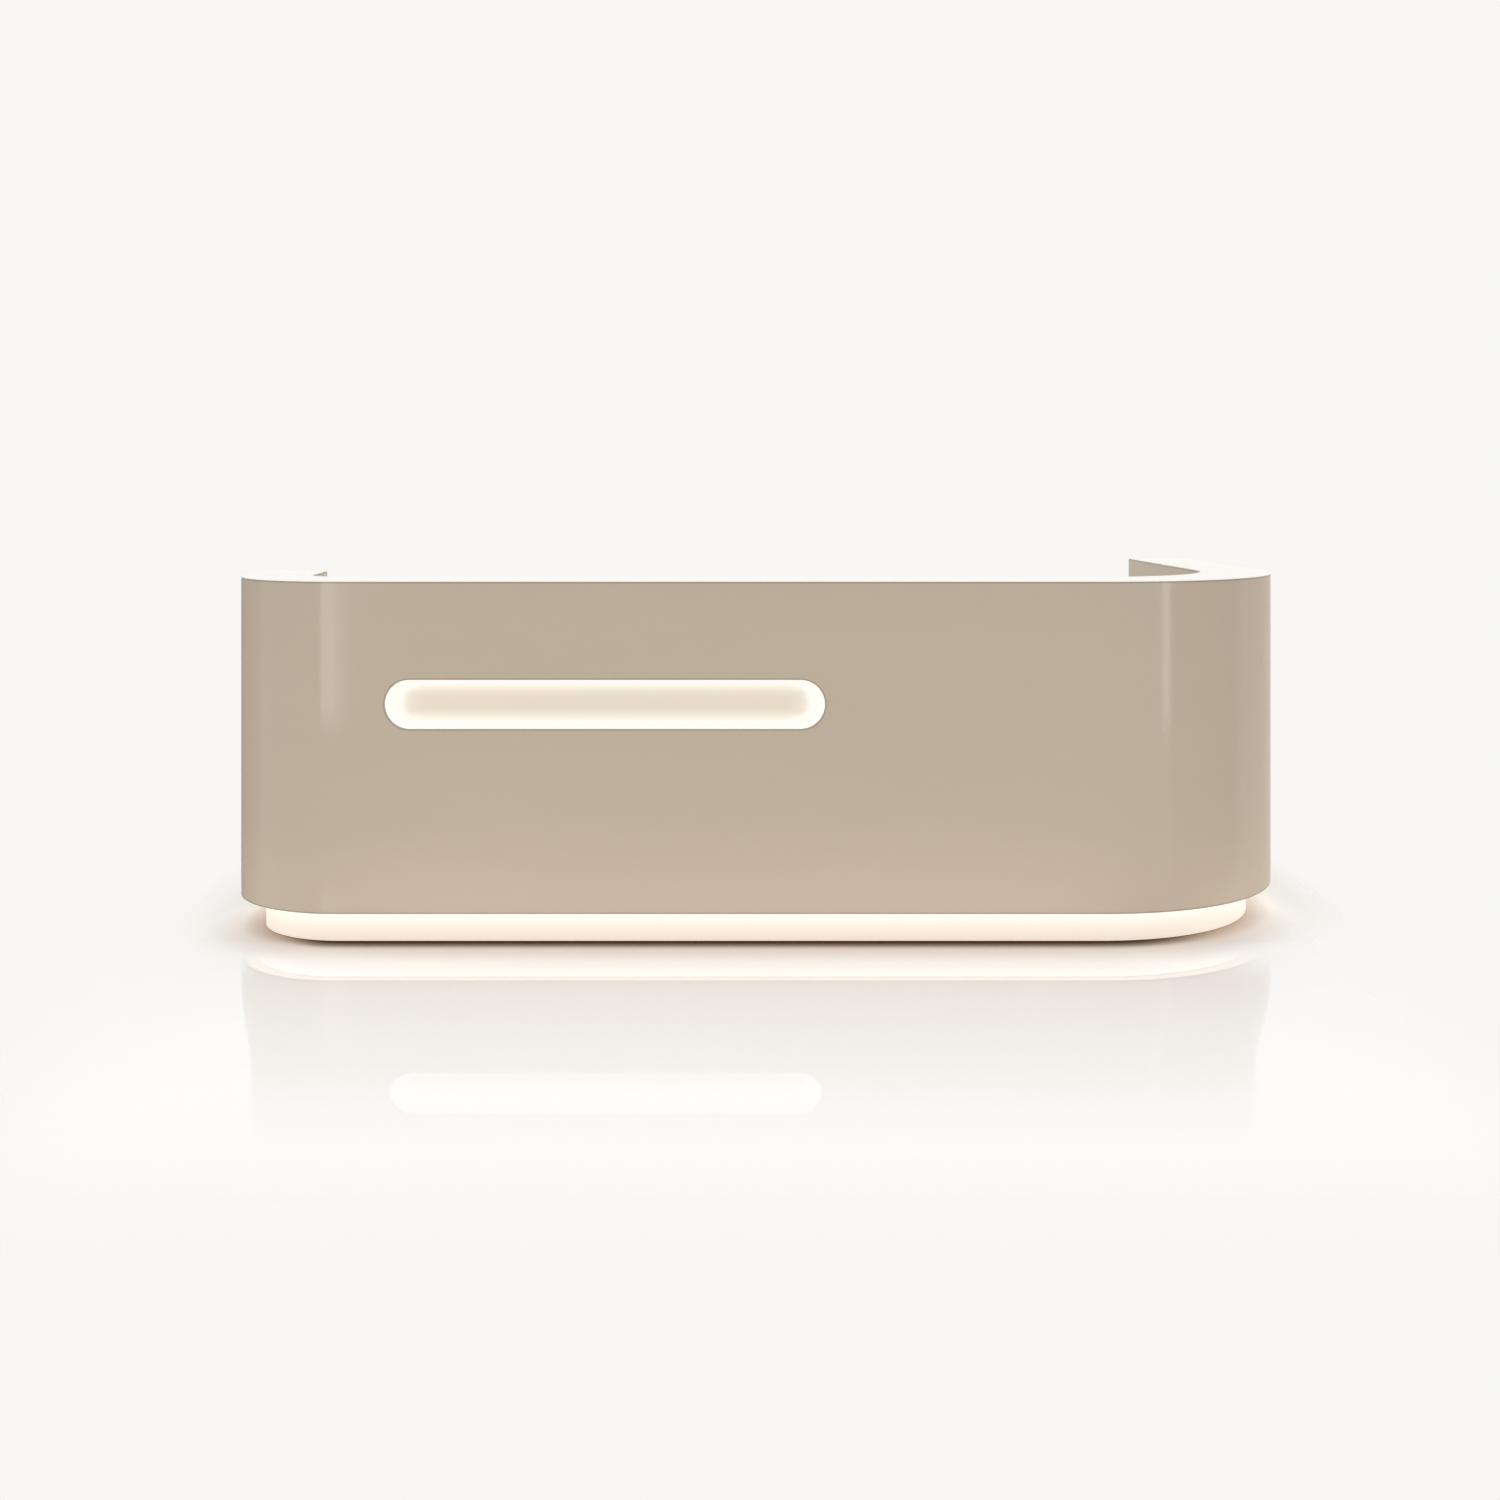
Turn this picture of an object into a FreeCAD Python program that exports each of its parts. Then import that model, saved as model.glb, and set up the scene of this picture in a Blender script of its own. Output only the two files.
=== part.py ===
"""Curved reception desk: hollow lacquered wall with a lit niche and a lit plinth, and its staff side.

Millimetres. +X runs along the front, the visitor's side faces -Y, +Z is up.
The origin is on the floor, in the middle of the desk's length and depth.
"""
import FreeCAD, Part
import os
import re
import Sketcher

# Driving dimensions, each written once.
SIZES = {
    # wall outline
    "overall_length": 3040,
    "overall_depth": 1410,
    "overall_height": 1000,
    "short_wing_depth": 555,
    "left_radius": 320,
    "right_radius": 625,
    "wall_width": 200,
    "panel_thickness": 12,
    "board_thickness": 18,
    "ledge_thickness": 3,
    # plinth
    "plinth_height": 92,
    "plinth_recess": 70,
    "plinth_inner_recess": 25,
    "profile_width": 18,
    "profile_height": 8,
    "profile_wall": 1.5,
    "profile_gap": 8,
    "foot_radius": 20,
    "foot_pad_height": 12,
    "foot_stem_radius": 5,
    # niche
    "niche_length": 1200,
    "niche_height": 134,
    "niche_margin": 133,
    "niche_drop": 337,
    "niche_depth": 90,
    "niche_wall": 8,
    "niche_lip": 8,
    "niche_light_width": 14,
    "niche_light_thickness": 5,
    # joints between the wall's sections
    "bolt_radius": 4,
    "bolt_hole_clearance": 0.25,
    "bolt_head_radius": 6.5,
    "bolt_head_height": 6,
    "bolt_inset": 60,
    # worktops
    "worktop_top": 750,
    "worktop_thickness": 25,
    "worktop_depth": 600,
    "return_depth": 500,
    "worktop_gap": 2,
    "grommet_radius": 30,
    "grommet_wall": 2.5,
    "grommet_flange": 8,
    "grommet_flange_height": 3,
    "grommet_fit": 0.2,
    "grommet_inset": 80,
    "bracket_width": 40,
    "bracket_reach": 160,
    "bracket_drop": 140,
    "bracket_plate": 4,
    "leg_radius": 30,
    "leg_plate_radius": 60,
    "leg_plate_height": 6,
    "leg_inset": 90,
    # fronts and carcasses
    "front_thickness": 18,
    "front_gap": 2,
    "front_overhang": 10,
    "front_reveal": 4,
    "front_side_reveal": 1.5,
    "finger_gap": 26,
    "kick_height": 50,
    "kick_setback": 45,
    # drawer pedestal
    "pedestal_offset": 50,
    "pedestal_width": 420,
    "pedestal_back_gap": 82,
    "drawer_back_room": 40,
    "drawer_height": 120,
    "drawer_lift": 30,
    "drawer_wall": 12,
    "drawer_floor": 8,
    "runner_width": 13,
    "runner_height": 45,
    "runner_plate": 1.5,
    "runner_fit": 0.4,
    "runner_drop": 38,
    "lock_radius": 8,
    "lock_fit": 0.05,
    "lock_head_radius": 11,
    "lock_head_height": 3,
    "lock_drop": 22,
    "lock_length": 42,
    "cam_length": 20,
    "cam_width": 12,
    "cam_thickness": 3,
    "cam_room": 3,
    "key_slot_width": 2.4,
    "key_slot_length": 9,
    "key_slot_depth": 8,
    # cupboard
    "cupboard_near_gap": 74,
    "cupboard_end_gap": 12,
    "cupboard_back_gap": 22,
    "shelf_lift": 312,
    "shelf_setback": 45,
    "hinge_height": 60,
    "hinge_inset": 90,
    "hinge_radius": 4,
    "hinge_pin_radius": 2,
    "hinge_fit": 0.05,
    "hinge_leaf": 2.5,
    "hinge_leaf_width": 32,
    "hinge_knuckle_gap": 0.3,
    # lights' drivers and switch
    "driver_length": 220,
    "driver_width": 60,
    "driver_height": 34,
    "driver_spacing": 320,
    "driver_offset": 200,
    "gland_radius": 7,
    "gland_length": 16,
    "switch_size": 86,
    "switch_thickness": 9,
    "switch_offset": 230,
    "rocker_width": 32,
    "rocker_height": 50,
    "rocker_thickness": 8,
    "rocker_fit": 1.2,
    "rocker_tilt": 5,
    "rocker_floor": 1,
}

# Counts of repeated pieces.
DRAWER_NAMES = ("lower", "middle", "upper")
DRAWERS = len(DRAWER_NAMES)
FRONT_FORMERS = 5
WING_FORMERS = 3
BRACKETS = 5
DRIVERS = 2
FRONT_FEET = 5
WING_FEET = 3
BOLT_ROWS = 3

# Places worked out from the driving dimensions.
PLACES = {
    "front_y": "-overall_depth / 2",
    "left_x": "-overall_length / 2",
    "right_x": "overall_length / 2",
    "left_centre_x": "left_x + left_radius",
    "left_centre_y": "front_y + left_radius",
    "right_centre_x": "right_x - right_radius",
    "right_centre_y": "front_y + right_radius",
    "left_end_y": "front_y + short_wing_depth",
    "right_end_y": "overall_depth / 2",
    "front_run": "right_centre_x - left_centre_x",
    "cavity_inset": "wall_width - panel_thickness",
    "skin_top": "overall_height - ledge_thickness",
    "skin_height": "skin_top - plinth_height",
    "inner_front_y": "front_y + wall_width",
    "inner_left_x": "left_x + wall_width",
    "inner_right_x": "right_x - wall_width",
    "former_bottom": "plinth_height + board_thickness",
    "former_height": "skin_top - board_thickness - former_bottom",
    "former_width": "wall_width - 2 * panel_thickness",
    "wing_run": "right_end_y - panel_thickness - right_centre_y",
    "plinth_back": "wall_width - plinth_inner_recess",
    "profile_outer": "plinth_recess - profile_gap - profile_width",
    "profile_inner": "plinth_recess - profile_gap",
    "foot_inset": "(plinth_recess + plinth_back) / 2",
    "niche_centre_x": "left_centre_x + niche_margin + niche_length / 2",
    "niche_centre_z": "overall_height - niche_drop",
    "niche_front_y": "front_y + panel_thickness",
    "niche_back_y": "niche_front_y + niche_depth",
    "worktop_under": "worktop_top - worktop_thickness",
    "worktop_front_y": "inner_front_y + worktop_gap",
    "worktop_back_y": "worktop_front_y + worktop_depth",
    "return_x": "inner_right_x - worktop_gap - return_depth",
    "return_y": "worktop_back_y + worktop_gap",
    "grommet_outer": "grommet_radius + grommet_wall",
    "grommet_y": "worktop_front_y + grommet_inset",
    "bracket_pitch": "(right_centre_x - pedestal_end_x - bracket_width) / %d" % BRACKETS,
    "first_bracket_x": "pedestal_end_x + bracket_pitch",
    "left_grommet_x": "first_bracket_x + (bracket_pitch + bracket_width) / 2",
    "right_grommet_x": "right_centre_x - (bracket_pitch + bracket_width) / 2",
    "front_face_y": "worktop_back_y - front_overhang",
    "front_back_y": "front_face_y - front_thickness",
    "pedestal_front_y": "front_back_y - front_gap",
    "pedestal_back_y": "inner_front_y + pedestal_back_gap",
    "pedestal_depth": "pedestal_front_y - pedestal_back_y",
    "pedestal_x": "inner_left_x + pedestal_offset",
    "pedestal_end_x": "pedestal_x + pedestal_width",
    "pedestal_inner_x": "pedestal_x + board_thickness",
    "pedestal_inner_width": "pedestal_width - 2 * board_thickness",
    "carcass_floor": "kick_height + board_thickness",
    "drawer_length": "pedestal_depth - drawer_back_room",
    "drawer_pitch": "(worktop_under - front_reveal - carcass_floor) / %d" % DRAWERS,
    "drawer_front_height": "drawer_pitch - finger_gap",
    "lowest_front_z": "carcass_floor + finger_gap",
    "lock_x": "pedestal_x + pedestal_width / 2",
    "lock_z": "worktop_under - front_reveal - lock_drop",
    "lock_rear_y": "front_face_y - lock_length",
    "door_face_x": "return_x + front_overhang",
    "door_back_x": "door_face_x + front_thickness",
    "cupboard_x": "door_back_x + front_gap",
    "cupboard_far_y": "right_end_y - cupboard_end_gap",
    "cupboard_near_y": "return_y + cupboard_near_gap",
    "cupboard_width": "cupboard_far_y - cupboard_near_y",
    "cupboard_depth": "inner_right_x - cupboard_back_gap - cupboard_x",
    "cupboard_middle_y": "(cupboard_near_y + cupboard_far_y) / 2",
    "shelf_z": "carcass_floor + shelf_lift",
    "door_width": "(cupboard_width - finger_gap) / 2 - front_side_reveal",
    "door_height": "worktop_under - front_reveal - kick_height",
    "hinge_x": "door_back_x + front_gap / 2",
    "hinge_offset": "cupboard_width / 2 + hinge_radius",
    "knuckle_height": "hinge_height / 3",
    "driver_x": "pedestal_end_x + driver_offset",
    "switch_x": "pedestal_end_x + switch_offset",
    "switch_z": "(worktop_top + overall_height) / 2",
    "rocker_pivot_y": "inner_front_y + switch_thickness",
}

doc = FreeCAD.newDocument("reception_desk")
sheet = doc.addObject("Spreadsheet::Sheet", "Sizes")
for row, (alias, value) in enumerate(SIZES.items(), start=1):
    sheet.set("A%d" % row, alias)
    sheet.set("B%d" % row, str(value))
    sheet.setAlias("B%d" % row, alias)
doc.recompute()

nodes = []


def formula(text):
    """Spell a sum of named sizes and places as an expression on the sheet."""
    def spell(match):
        word = match.group(0)
        if word in PLACES:
            return "(" + formula(PLACES[word]) + ")"
        if word in SIZES:
            return "Sizes." + word
        raise NameError("no size or place is called " + word)
    return re.sub(r"[a-z][a-z_]*", spell, str(text))


def bind(thing, **properties):
    """Tie each property of a document object to a sum of named sizes."""
    for name, text in properties.items():
        thing.setExpression(name, formula(text))


def put(thing, x, y, z):
    """Tie the object's place to sums of named sizes."""
    for axis, text in zip("xyz", (x, y, z)):
        thing.setExpression("Placement.Base." + axis, formula(text))
    return thing


def node(thing, label):
    """Give a finished sub-part the label that names its file."""
    thing.Label = label
    nodes.append(thing)
    return thing


def box(x, y, z, length, width, height):
    thing = doc.addObject("Part::Box", "block")
    bind(thing, Length=length, Width=width, Height=height)
    return put(thing, x, y, z)


def cylinder(x, y, z, radius, height, towards=(0, 0, 1), sweep=360, start=0):
    """Round bar along an axis, or a sector of one that starts at an angle from +X."""
    thing = doc.addObject("Part::Cylinder", "round")
    bind(thing, Radius=radius, Height=height)
    thing.Angle = sweep
    lean = FreeCAD.Rotation(FreeCAD.Vector(0, 0, 1), FreeCAD.Vector(*towards))
    spin = FreeCAD.Rotation(FreeCAD.Vector(0, 0, 1), start)
    thing.Placement = FreeCAD.Placement(FreeCAD.Vector(), lean.multiply(spin))
    return put(thing, x, y, z)


def cut(base, *tools):
    for tool in tools:
        thing = doc.addObject("Part::Cut", "trimmed")
        thing.Base = base
        thing.Tool = tool
        base = thing
    return base


def fuse(*shapes):
    thing = doc.addObject("Part::MultiFuse", "joined")
    thing.Shapes = list(shapes)
    thing.Refine = True
    return thing


def common(first, second):
    thing = doc.addObject("Part::Common", "shared")
    thing.Base = first
    thing.Tool = second
    return thing


def group(*shapes):
    """Separate solids that share one node."""
    thing = doc.addObject("Part::Compound", "set")
    thing.Links = list(shapes)
    return thing


def plane_of(body, role):
    return next(p for p in body.Origin.OriginFeatures if p.Role == role)


def sketch_on(body, name, lift="0"):
    """Empty sketch on the body's ground plane, raised by a size."""
    sketch = body.newObject("Sketcher::SketchObject", name)
    sketch.AttachmentSupport = [(plane_of(body, "XY_Plane"), "")]
    sketch.MapMode = "FlatFace"
    sketch.setExpression("AttachmentOffset.Base.z", formula(lift))
    return sketch


def draw_rectangle(sketch, left, near, length, width):
    """Closed rectangle whose corner and sides are tied to named sizes."""
    corners = [FreeCAD.Vector(x, y, 0) for x, y in ((1, 1), (2, 1), (2, 2), (1, 2))]
    sides = [Part.LineSegment(corners[i], corners[(i + 1) % 4]) for i in range(4)]
    sketch.addGeometry(sides, False)
    for i in range(4):
        sketch.addConstraint(Sketcher.Constraint("Coincident", i, 2, (i + 1) % 4, 1))
        sketch.addConstraint(Sketcher.Constraint("Horizontal" if i % 2 == 0 else "Vertical", i))
    spans = (
        ("DistanceX", (-1, 1, 0, 1), left),
        ("DistanceY", (-1, 1, 0, 1), near),
        ("DistanceX", (0, 1, 0, 2), length),
        ("DistanceY", (1, 1, 1, 2), width),
    )
    for kind, ends, text in spans:
        index = sketch.addConstraint(Sketcher.Constraint(kind, *ends, 1.0))
        sketch.setExpression("Constraints[%d]" % index, formula(text))


def draw_circle(sketch, x, y, radius):
    """Circle whose centre and radius are tied to named sizes."""
    circle = Part.Circle(FreeCAD.Vector(1, 1, 0), FreeCAD.Vector(0, 0, 1), 1)
    index = sketch.addGeometry(circle, False)
    spans = (
        ("DistanceX", (-1, 1, index, 3), x),
        ("DistanceY", (-1, 1, index, 3), y),
        ("Radius", (index,), radius),
    )
    for kind, ends, text in spans:
        place = sketch.addConstraint(Sketcher.Constraint(kind, *ends, 1.0))
        sketch.setExpression("Constraints[%d]" % place, formula(text))


def pad(body, sketch, height):
    thing = body.newObject("PartDesign::Pad", "Pad")
    thing.Profile = sketch
    bind(thing, Length=height)
    doc.recompute()
    return thing


def pocket_up(body, sketch):
    """Cut everything above the sketch."""
    before = body.Shape.Volume
    thing = body.newObject("PartDesign::Pocket", "Pocket")
    thing.Profile = sketch
    thing.Type = "ThroughAll"
    thing.Reversed = True
    doc.recompute()
    if body.Shape.Volume >= before:
        raise RuntimeError("a pocket cut nothing")
    return thing


def fillet_upright(body, base, x, y, radius):
    """Round the body's upright edge that stands at a corner."""
    def distance(edge):
        middle = edge.CenterOfMass
        upright = abs(edge.Vertexes[0].Z - edge.Vertexes[-1].Z) > 0
        return abs(middle.x - x) + abs(middle.y - y) if upright else float("inf")
    edges = base.Shape.Edges
    nearest = min(range(len(edges)), key=lambda i: distance(edges[i]))
    thing = body.newObject("PartDesign::Fillet", "Fillet")
    thing.Base = (base, ["Edge%d" % (nearest + 1)])
    bind(thing, Radius=radius)
    doc.recompute()
    return thing


def corner(side, outer, inner, bottom, height):
    """Quarter ring of the wall's left or right corner, between two insets from the outer face."""
    centre_x = side + "_centre_x"
    centre_y = side + "_centre_y"
    start = 180 if side == "left" else 270
    whole = cylinder(centre_x, centre_y, bottom, "%s_radius - (%s)" % (side, outer), height,
                     sweep=90, start=start)
    hollow = cylinder(centre_x, centre_y, bottom, "%s_radius - (%s)" % (side, inner), height,
                      sweep=90, start=start)
    return cut(whole, hollow)


def wall_front(outer, inner, bottom, height):
    """Straight front stretch of the wall between two insets from the outer face."""
    return box("left_centre_x", "front_y + " + outer, bottom,
               "front_run", "(%s) - (%s)" % (inner, outer), height)


def wall_wing(side, outer, inner, bottom, height, setback="0"):
    """Corner and straight side of the left return or the right wing, in one piece."""
    width = "(%s) - (%s)" % (inner, outer)
    x = "left_x + " + outer if side == "left" else "right_x - (%s)" % inner
    run = "%s_end_y - (%s) - %s_centre_y" % (side, setback, side)
    straight = box(x, side + "_centre_y", bottom, width, run, height)
    return fuse(corner(side, outer, inner, bottom, height), straight)


def wall_pieces(outer, inner, bottom, height, setback="0"):
    """Front, left and right pieces of one layer of the wall."""
    band = (outer, inner, bottom, height)
    return (
        wall_front(*band),
        wall_wing("left", *band, setback),
        wall_wing("right", *band, setback),
    )


def stadium(growth, y, depth):
    """Round-ended bar along X about the niche's axis, larger than the niche by a growth all round."""
    radius = "niche_height / 2 + (%s)" % growth
    left = "niche_centre_x - niche_length / 2 + niche_height / 2"
    right = "niche_centre_x + niche_length / 2 - niche_height / 2"
    middle = box(left, y, "niche_centre_z - (%s)" % radius,
                 "niche_length - niche_height", depth, "2 * (%s)" % radius)
    ends = [cylinder(x, y, "niche_centre_z", radius, depth, towards=(0, 1, 0)) for x in (left, right)]
    return fuse(middle, *ends)


def make_wall():
    """Outer and inner skins, end panels and the thin white ledge over them."""
    skin = ("plinth_height", "skin_height")
    front, left, right = wall_pieces("0", "panel_thickness", *skin)
    node(cut(front, stadium("0", "front_y", "panel_thickness")), "front_panel")
    node(left, "left_panel")
    node(right, "right_panel")
    lining = wall_pieces("cavity_inset", "wall_width", *skin)
    for piece, name in zip(lining, ("front", "left", "right")):
        node(piece, "inner_%s_panel" % name)
    for side, x in (("left", "left_x + panel_thickness"), ("right", "inner_right_x + panel_thickness")):
        end = box(x, side + "_end_y - panel_thickness", "plinth_height",
                  "former_width", "panel_thickness", "skin_height")
        node(end, side + "_end_panel")
    ledge = wall_pieces("0", "wall_width", "skin_top", "ledge_thickness")
    for piece, name in zip(ledge, ("front", "left", "right")):
        node(piece, "ledge_" + name)


def bolt_places():
    """Axis height and inset of each bolt that pulls two sections together."""
    for row in range(BOLT_ROWS):
        z = "former_bottom + bolt_inset + %d * (former_height - 2 * bolt_inset) / %d" % (row, BOLT_ROWS - 1)
        for inset in ("panel_thickness + bolt_inset", "cavity_inset - bolt_inset"):
            yield "front_y + " + inset, z


def make_carcass():
    """Boards inside the wall: base, sub-top, upright formers, and the bolts between sections."""
    cavity = ("panel_thickness", "cavity_inset")
    node(group(*wall_pieces(*cavity, "plinth_height", "board_thickness", "panel_thickness")), "base_boards")
    node(group(*wall_pieces(*cavity, "skin_top - board_thickness", "board_thickness", "panel_thickness")),
         "sub_top_boards")

    def across_front(x):
        return box(x, "front_y + panel_thickness", "former_bottom",
                   "board_thickness", "former_width", "former_height")

    def across_wing(side, y):
        x = "left_x + panel_thickness" if side == "left" else "inner_right_x + panel_thickness"
        return box(x, y, "former_bottom", "former_width", "board_thickness", "former_height")

    room = box("niche_centre_x - niche_length / 2 - niche_lip - niche_wall", "front_y",
               "niche_centre_z - niche_height / 2 - niche_lip - niche_wall",
               "niche_length + 2 * niche_lip + 2 * niche_wall",
               "panel_thickness + niche_depth + niche_wall",
               "niche_height + 2 * niche_lip + 2 * niche_wall")
    formers = []
    for i in range(1, FRONT_FORMERS + 1):
        x = "left_centre_x + %d * front_run / %d - board_thickness / 2" % (i, FRONT_FORMERS + 1)
        formers.append(cut(across_front(x), room))
    bolts = []
    for side in ("left", "right"):
        joint = side + "_centre_x"
        holes = [cylinder("%s - board_thickness" % joint, y, z, "bolt_radius + bolt_hole_clearance",
                          "2 * board_thickness", towards=(1, 0, 0)) for y, z in bolt_places()]
        for x in ("%s - board_thickness" % joint, joint):
            inside_corner = (side == "left") == (x != joint)
            board = across_front(x)
            if inside_corner:
                board = common(board, corner(side, *cavity, "former_bottom", "former_height"))
            formers.append(cut(board, *holes))
        for y, z in bolt_places():
            head = "%s - board_thickness - bolt_head_height" % joint
            shank = cylinder(head, y, z, "bolt_radius", "2 * board_thickness + 2 * bolt_head_height",
                             towards=(1, 0, 0))
            ends = [cylinder(x, y, z, "bolt_head_radius", "bolt_head_height", towards=(1, 0, 0))
                    for x in (head, "%s + board_thickness" % joint)]
            bolts.append(fuse(shank, *ends))
    formers.append(across_wing("left", "left_centre_y"))
    for i in range(WING_FORMERS):
        y = "right_centre_y + %d * wing_run / %d" % (i, WING_FORMERS)
        formers.append(across_wing("right", y))
    node(group(*formers), "formers")
    node(group(*bolts), "section_bolts")


def make_plinth():
    """Recessed plinth with its light profile, inner boards, ends and hidden levelling feet."""
    panel = ("plinth_recess", "plinth_recess + board_thickness", "0", "plinth_height", "plinth_recess")
    for piece, name in zip(wall_pieces(*panel), ("front", "left", "right")):
        node(piece, "plinth_" + name)
    inner = wall_pieces("plinth_back - board_thickness", "plinth_back", "0", "plinth_height", "plinth_recess")
    node(group(*inner), "inner_plinth_boards")
    gap = "plinth_back - plinth_recess - 2 * board_thickness"
    ends = []
    for side in ("left", "right"):
        inset = "plinth_recess + board_thickness"
        x = "left_x + " + inset if side == "left" else "right_x - plinth_back + board_thickness"
        ends.append(box(x, side + "_end_y - plinth_recess - board_thickness", "0",
                        gap, "board_thickness", "plinth_height"))
    node(group(*ends), "plinth_end_boards")

    profile_z = "plinth_height - profile_height"
    outside = wall_pieces("profile_outer", "profile_inner", profile_z, "profile_height", "plinth_recess")
    channel = wall_pieces("profile_outer + profile_wall", "profile_inner - profile_wall", profile_z,
                          "profile_height - profile_wall", "plinth_recess")
    node(group(*[cut(whole, groove) for whole, groove in zip(outside, channel)]), "plinth_light_profile")
    strip = wall_pieces("profile_outer + profile_wall", "profile_inner - profile_wall", profile_z,
                        "profile_wall", "plinth_recess")
    node(group(*strip), "plinth_light_diffuser")

    def foot(x, y):
        pad_disc = cylinder(x, y, "0", "foot_radius", "foot_pad_height")
        stem = cylinder(x, y, "0", "foot_stem_radius", "plinth_height")
        return fuse(pad_disc, stem)

    feet = []
    for i in range(FRONT_FEET):
        x = "left_centre_x + %d * front_run / %d" % (i, FRONT_FEET - 1)
        feet.append(foot(x, "front_y + foot_inset"))
    feet.append(foot("left_x + foot_inset", "left_centre_y"))
    for i in range(WING_FEET):
        y = "right_centre_y + %d * wing_run / %d" % (i, WING_FEET)
        feet.append(foot("right_x - foot_inset", y))
    node(group(*feet), "levelling_feet")


def make_niche():
    """Round-ended display niche: surround, back and a light ring hidden behind the front panel's lip."""
    surround = cut(stadium("niche_lip + niche_wall", "niche_front_y", "niche_depth"),
                   stadium("niche_lip", "niche_front_y", "niche_depth"))
    node(surround, "niche_surround")
    node(stadium("niche_lip + niche_wall", "niche_back_y", "niche_wall"), "niche_back")
    ring = cut(stadium("niche_lip", "niche_front_y", "niche_light_width"),
               stadium("niche_lip - niche_light_thickness", "niche_front_y", "niche_light_width"))
    node(ring, "niche_light")


def make_worktops():
    """Main worktop with cable grommets, return worktop, wall brackets and the post under the joint."""
    body = doc.addObject("PartDesign::Body", "MainWorktop")
    outline = sketch_on(body, "Outline")
    length = "inner_right_x - inner_left_x - 2 * worktop_gap"
    draw_rectangle(outline, "0", "0", length, "worktop_depth")
    base = pad(body, outline, "worktop_thickness")
    base = fillet_upright(body, base, 0, 0, "left_radius - wall_width - worktop_gap")
    base = fillet_upright(body, base, base.Shape.BoundBox.XMax, 0,
                          "right_radius - wall_width - worktop_gap")
    holes = sketch_on(body, "Grommets")
    corner_x = "inner_left_x + worktop_gap"
    for side in ("left", "right"):
        draw_circle(holes, "%s_grommet_x - (%s)" % (side, corner_x), "grommet_inset",
                    "grommet_outer + grommet_fit")
    pocket_up(body, holes)
    put(body, corner_x, "worktop_front_y", "worktop_under")
    node(body, "main_worktop")

    node(box("return_x", "return_y", "worktop_under", "return_depth", "right_end_y - (return_y)",
             "worktop_thickness"), "return_worktop")

    grommets = []
    for side in ("left", "right"):
        place = (side + "_grommet_x", "grommet_y")
        tube = cylinder(*place, "worktop_under", "grommet_outer", "worktop_thickness")
        flange = cylinder(*place, "worktop_top", "grommet_outer + grommet_flange", "grommet_flange_height")
        bore = cylinder(*place, "worktop_under", "grommet_radius",
                        "worktop_thickness + grommet_flange_height")
        grommets.append(cut(fuse(tube, flange), bore))
    node(group(*grommets), "cable_grommets")

    brackets = []
    for i in range(BRACKETS):
        x = "first_bracket_x + %d * bracket_pitch" % i
        upright = box(x, "inner_front_y", "worktop_under - bracket_drop",
                      "bracket_width", "bracket_plate", "bracket_drop")
        arm = box(x, "inner_front_y", "worktop_under - bracket_plate",
                  "bracket_width", "bracket_reach", "bracket_plate")
        brackets.append(fuse(upright, arm))
    node(group(*brackets), "worktop_brackets")

    place = ("return_x + leg_inset", "worktop_back_y - leg_inset")
    post = cylinder(*place, "0", "leg_radius", "worktop_under")
    plates = [cylinder(*place, z, "leg_plate_radius", "leg_plate_height")
              for z in ("0", "worktop_under - leg_plate_height")]
    node(fuse(post, *plates), "support_leg")


def make_pedestal():
    """Drawer pedestal: carcass boards, and the lock's mortise in the top board."""
    depth = "pedestal_depth"
    sides = [box(x, "pedestal_back_y", "0", "board_thickness", depth, "worktop_under")
             for x in ("pedestal_x", "pedestal_end_x - board_thickness")]
    node(group(*sides), "pedestal_sides")
    top_z = "worktop_under - board_thickness"
    between = ("pedestal_inner_x", "pedestal_back_y")
    top = box(*between, top_z, "pedestal_inner_width", depth, "board_thickness")
    mortise = box("lock_x - cam_width / 2 - cam_room", "lock_rear_y - cam_room", top_z,
                  "cam_length + cam_width / 2 + 2 * cam_room", "cam_thickness + 2 * cam_room",
                  "board_thickness")
    node(cut(top, mortise), "pedestal_top")
    node(box(*between, "kick_height", "pedestal_inner_width", depth, "board_thickness"), "pedestal_bottom")
    node(box(*between, "carcass_floor", "pedestal_inner_width", "panel_thickness",
             "%s - (carcass_floor)" % top_z), "pedestal_back")


def drawer_box(name, z):
    """Open-topped drawer box of boards."""
    body = doc.addObject("PartDesign::Body", "DrawerBox")
    outline = sketch_on(body, "Outline")
    width = "pedestal_inner_width - 2 * runner_width"
    draw_rectangle(outline, "0", "0", width, "drawer_length")
    pad(body, outline, "drawer_height")
    inside = sketch_on(body, "Inside", "drawer_floor")
    draw_rectangle(inside, "drawer_wall", "drawer_wall", width + " - 2 * drawer_wall",
                   "drawer_length - 2 * drawer_wall")
    pocket_up(body, inside)
    put(body, "pedestal_inner_x + runner_width", "front_back_y - drawer_length", z)
    node(body, name + "_drawer_box")


def runner_pair(x_outer, y, z, towards):
    """Fixed channel and the bar that slides in it, on one side of a drawer."""
    web = x_outer if towards > 0 else x_outer + " - runner_width"
    hollow = x_outer + " + runner_plate" if towards > 0 else x_outer + " - runner_width"
    channel = cut(
        box(web, y, z, "runner_width", "drawer_length", "runner_height"),
        box(hollow, y, "%s + runner_plate" % z, "runner_width - runner_plate", "drawer_length",
            "runner_height - 2 * runner_plate"),
    )
    slim = "runner_plate + runner_fit"
    near = x_outer + " + " + slim if towards > 0 else x_outer + " - runner_width"
    bar = box(near, y, "%s + %s" % (z, slim), "runner_width - (%s)" % slim, "drawer_length",
              "runner_height - 2 * (%s)" % slim)
    return channel, bar


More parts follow.
